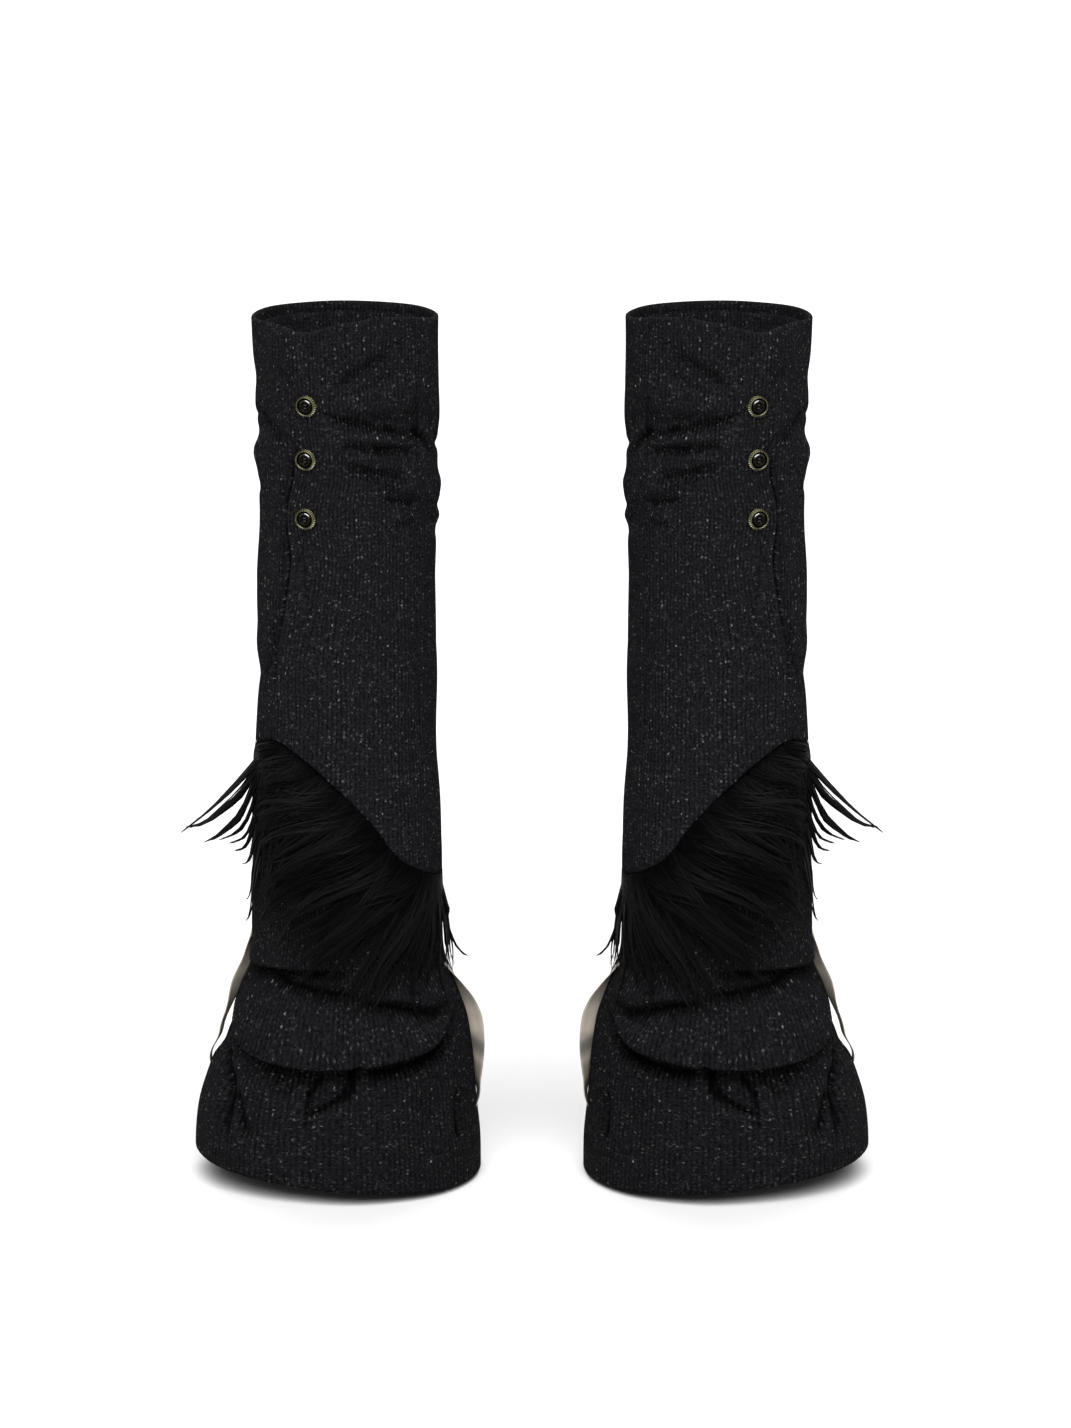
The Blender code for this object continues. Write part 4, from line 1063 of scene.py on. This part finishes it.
class Shade:
    """A material's node tree, with short calls for the nodes used here."""

    def __init__(self, name):
        self.material = bpy.data.materials.new(name)
        self.material.use_nodes = True
        self.tree = self.material.node_tree
        self.shader = self.tree.nodes["Principled BSDF"]

    def put(self, socket, value):
        """Join a value to a socket, or set the socket to a number or a colour."""
        if isinstance(value, Value):
            value = value.socket
        if isinstance(value, bpy.types.NodeSocket):
            self.tree.links.new(value, socket)
        else:
            socket.default_value = (*value, 1.0) if isinstance(value, tuple) else value

    def finish(self, **values):
        """The material, with values for its shader's sockets."""
        for name, value in values.items():
            self.put(self.shader.inputs[name.replace("_", " ")], value)
        return self.material

    def node(self, kind, inputs, **settings):
        made = self.tree.nodes.new(f"ShaderNode{kind}")
        for name, value in settings.items():
            setattr(made, name, value)
        for name, value in inputs.items():
            self.put(made.inputs[name], value)
        return made

    def math(self, operation, *values):
        return Value(self, self.node("Math", dict(enumerate(values)), operation=operation).outputs[0])

    def vector(self, x, y, z=0.0):
        return self.node("CombineXYZ", {"X": x, "Y": y, "Z": z}).outputs[0]

    def place(self):
        """Place in the object's own space, in metres."""
        return self.node("TexCoord", {}).outputs["Object"]

    def uv(self, name="cloth"):
        """The two values of a UV layer."""
        layer_uv = self.node("UVMap", {}, uv_map=name).outputs["UV"]
        parts = self.node("SeparateXYZ", {"Vector": layer_uv}).outputs
        return Value(self, parts[0]), Value(self, parts[1])

    def noise(self, vector, scale, detail=2.0, roughness=0.5):
        inputs = {"Vector": vector, "Scale": scale, "Detail": detail, "Roughness": roughness}
        return Value(self, self.node("TexNoise", inputs).outputs["Fac"])

    def cells(self, vector, scale):
        """Distance to the nearest of scattered points, and two random numbers that belong to it."""
        made = self.node("TexVoronoi", {"Vector": vector, "Scale": scale}, voronoi_dimensions="2D")
        parts = self.node("SeparateColor", {"Color": made.outputs["Color"]}).outputs
        return [Value(self, socket) for socket in (made.outputs["Distance"], parts[0], parts[1])]

    def mix(self, factor, first, second):
        made = self.node("Mix", {}, data_type="RGBA")
        for number, value in ((0, factor), (6, first), (7, second)):
            self.put(made.inputs[number], value)
        return made.outputs[2]

    def bump(self, height, strength, distance):
        made = self.node("Bump", {"Height": height, "Strength": strength, "Distance": distance})
        self.put(self.shader.inputs["Normal"], made.outputs[0])


def knit_material(name, brightness):
    """Charcoal rib knit: upright ribs with chevron stitches, pale flecks of uneven brightness, and painted
    shade in the rib grooves and in the creases.
    """
    m = Shade(name)
    x, y = (value * TEXTURE_SPAN for value in m.uv())
    place = m.vector(x, y)
    half = abs((x / RIB_PITCH).math("FRACT") - 0.5)
    groove = (1.0 - half * 2.0) ** 1.6
    stitch = ((groove * 0.55 + y / ROW_PITCH) * (2 * math.pi)).math("SINE")
    fuzz = m.noise(place, 1.3, 3.0, 0.65)
    m.bump(groove * -0.6 + (stitch * 0.25 + fuzz * 1.6), 0.8, 0.0005)

    moved = m.vector(m.noise(place, 1.1, 2.0, 0.6) * 3.4 + x,
                     m.noise(m.vector(y, x, 40.0), 1.1, 2.0, 0.6) * 3.4 + y)
    away, chosen, bright = m.cells(moved, 0.72)
    fine = away.smooth(0.40, 0.16) * chosen.smooth(0.50, 0.60) * (bright ** 4.0 * 0.075 + 0.008)
    away, chosen, bright = m.cells(moved, 0.24)
    bold = away.smooth(0.13, 0.06) * chosen.smooth(0.42, 0.5) * (bright ** 2.5 * 0.22 + 0.03)
    curl = abs(m.noise(place, 0.6, 1.0) - 0.5).smooth(0.014, 0.004)
    curl = curl * m.noise(place, 0.13).smooth(0.45, 0.7, 0.0, 0.022)
    patches = m.noise(place, 0.06).smooth(0.3, 0.7, 0.6, 1.3)
    # painted shade: flecks are dimmer in the rib grooves
    flecks = (fine + bold + curl) * (patches * (groove * -0.7 + 1.0))

    grain = m.noise(place, 0.7, 4.0, 0.7).smooth(0.34, 0.68, 0.2, 1.5)
    # painted shade in the rib grooves, uneven along them
    depth = groove * m.noise(place, 0.16, 3.0, 0.7).smooth(0.35, 0.65, 0.15, 0.85)
    broken = m.noise(place, 0.32, 3.0, 0.6).smooth(0.36, 0.62, 0.35, 1.0)
    # painted shade in the creases, broken up along them; it darkens the flecks there too
    crease = m.uv("crease")[0]
    crease = crease * broken.math("MAXIMUM", crease.smooth(0.8, 1.0))
    shadow = crease * -0.7 + 1.0 - crease.smooth(0.72, 0.95, 0.0, 0.2)
    # painted shade in the rib grooves inside the creases
    crease_groove_shade = crease.smooth(0.1, 0.5) * groove.smooth(0.12, 0.45)
    depth = depth.math("MAXIMUM", crease_groove_shade * 0.85)
    body = m.mix(grain * shadow * (1.0 - depth), (0.0010, 0.0010, 0.0012), (0.0110, 0.0110, 0.0128))
    colour = m.mix((flecks * shadow).math("MINIMUM", 1.0), body, (1.0, 0.99, 0.96))
    # brightness scales the whole colour of a copy; the lower tier's darker copy is painted shade
    colour = m.mix(brightness, (0.0, 0.0, 0.0), colour)
    return m.finish(Base_Color=colour, Roughness=0.95, Specular_IOR_Level=0.04)


def hair_material():
    """Black hair with locks and strands of uneven brightness, and painted shade that darkens it towards its
    roots under the wrap's edge.
    """
    m = Shade("black_hair")
    shade, along = m.uv()
    # painted shade under the wrap's edge: strands darken towards their roots
    shade = (shade * (1 / SHADE_SPAN)) ** 2.0 * along.smooth(0.02, 0.3, 0.3, 1.0)
    dark = m.mix(along, (0.0010, 0.0010, 0.0011), (0.0030, 0.0029, 0.0030))
    colour = m.mix(shade, dark, (0.0185, 0.0179, 0.0182))
    return m.finish(Base_Color=colour, Roughness=0.5, Specular_IOR_Level=0.04)


def brass_material():
    """Old brass, dark in its notches and on its inner side, bright on the ring's ridges with wear and a
    painted highlight, brightest at the bottom with a painted reflection of the floor.
    """
    m = Shade("antique_brass")
    ridge_wear_and_reflection, height = m.uv()
    grime = m.noise(m.place(), 900.0, 3.0, 0.6)
    dark = m.mix(grime, (0.010, 0.009, 0.004), (0.05, 0.045, 0.022))
    # painted highlight and reflection on the worn ridges, brightest at the ring's bottom
    bright = ridge_wear_and_reflection.smooth(0.01, 0.09) * height.smooth(0.80, 0.55)
    metal = m.mix(bright, (0.100, 0.094, 0.050), (0.85, 0.80, 0.56))
    m.bump(grime, 0.2, 0.0001)
    return m.finish(Base_Color=m.mix(height.smooth(0.18, 0.50), dark, metal), Metallic=1.0,
                    Roughness=grime.smooth(0.3, 0.7, 0.22, 0.4))


def plain_material(name, scale, first, second, **values):
    """A colour that wavers between two that are close to each other."""
    m = Shade(name)
    return m.finish(Base_Color=m.mix(m.noise(m.place(), scale), first, second), **values)


def black_material(name, gloss, ior):
    return plain_material(name, 300.0, (0.0012, 0.0010, 0.0008), (0.006, 0.0045, 0.003),
                          Roughness=0.12, IOR=ior, Specular_IOR_Level=gloss)


def satin_material():
    """Beige-grey ribbon with fine weft lines and soft streaks along its length, and painted shade in dark
    bands where it twists.
    """
    m = Shade("satin")
    x, y = (value * TEXTURE_SPAN for value in m.uv())
    streak = m.noise(m.vector(x * 0.6, y * 0.06), 1.2, 2.0)
    colour = m.mix(streak, (0.250, 0.220, 0.185), (0.430, 0.380, 0.315))
    # painted shade: dark bands across the ribbon at random heights
    band = m.noise(m.vector(0.0, y), 0.06, 1.0).smooth(0.42, 0.60) * 0.35
    # painted shade where the ribbon twists away, across it near 78 mm up
    twist_painted_shade = abs(x * 0.45 + y - 78.0).smooth(8.5, 1.0, 0.0, 0.85)
    m.bump((y * (2 * math.pi / 0.5)).math("SINE"), 0.15, 0.00005)
    colour = m.mix(band.math("MAXIMUM", twist_painted_shade), colour, (0.080, 0.076, 0.072))
    return m.finish(Base_Color=colour, Roughness=0.34, Specular_IOR_Level=0.5)


def make_camera():
    data = bpy.data.cameras.new("camera")
    data.sensor_width = 36.0
    data.lens = 139.3
    data.clip_end = 100.0
    camera = add_object("camera", data)
    camera.location = (0.00196, -3.0, 0.599)
    camera.rotation_euler = (math.radians(90 - 14.2), 0.0, 0.0)
    bpy.context.scene.camera = camera


def make_light():
    world = bpy.data.worlds.new("studio")
    bpy.context.scene.world = world
    world.use_nodes = True
    background = world.node_tree.nodes["Background"]
    background.inputs["Color"].default_value = (1.0, 1.0, 1.0, 1.0)
    background.inputs["Strength"].default_value = 0.30
    for name, energy, lean in (("front_sun", 4.7, 35), ("back_sun", 2.1, -40)):
        data = bpy.data.lights.new(name, "SUN")
        data.energy = energy
        data.angle = math.radians(60)
        add_object(name, data).rotation_euler = (math.radians(lean), 0.0, 0.0)
    bpy.context.scene.view_settings.view_transform = "Standard"


def make_floor():
    half = 15.0
    level = CAD_BOX[0].z - 0.001
    corners = [(x * half, y * half, level) for x, y in ((-1, -1), (1, -1), (1, 1), (-1, 1))]
    mesh = bpy.data.meshes.new("floor")
    mesh.from_pydata(corners, [], [(0, 1, 2, 3)])
    mesh.materials.append(plain_material("pale_floor", 3.0, (0.64, 0.64, 0.64), (0.66, 0.66, 0.66),
                                         Roughness=0.9, Specular_IOR_Level=0.0))
    add_object("floor", mesh)


make_camera()
make_light()
make_floor()
# The same knit in two copies; the tier's is darker than the wrap's, painted shade on the lower tier.
tubes = make_tube(knit_material("tier_knit", 0.68))
wraps = make_wrap(knit_material("wrap_knit", 0.90))
furs = make_fur(hair_material())
thread = plain_material("thread", 2500.0, (0.012, 0.011, 0.012), (0.05, 0.045, 0.045), Roughness=0.6)
# the glossy black goes only on the dome's upper arc, a painted highlight
blacks = [black_material("black_well", 0.05, 1.5), thread, black_material("black_highlight_arc", 0.9, 1.8)]
buttons = make_buttons(brass_material(), blacks)
satin = satin_material()
outer_tapes = make_tape("tape_outer", OUTER_TAPE, -90.0, 0.0, satin)
inner_tapes = make_tape("tape_inner", INNER_TAPE, 90.0, 1.7, satin)
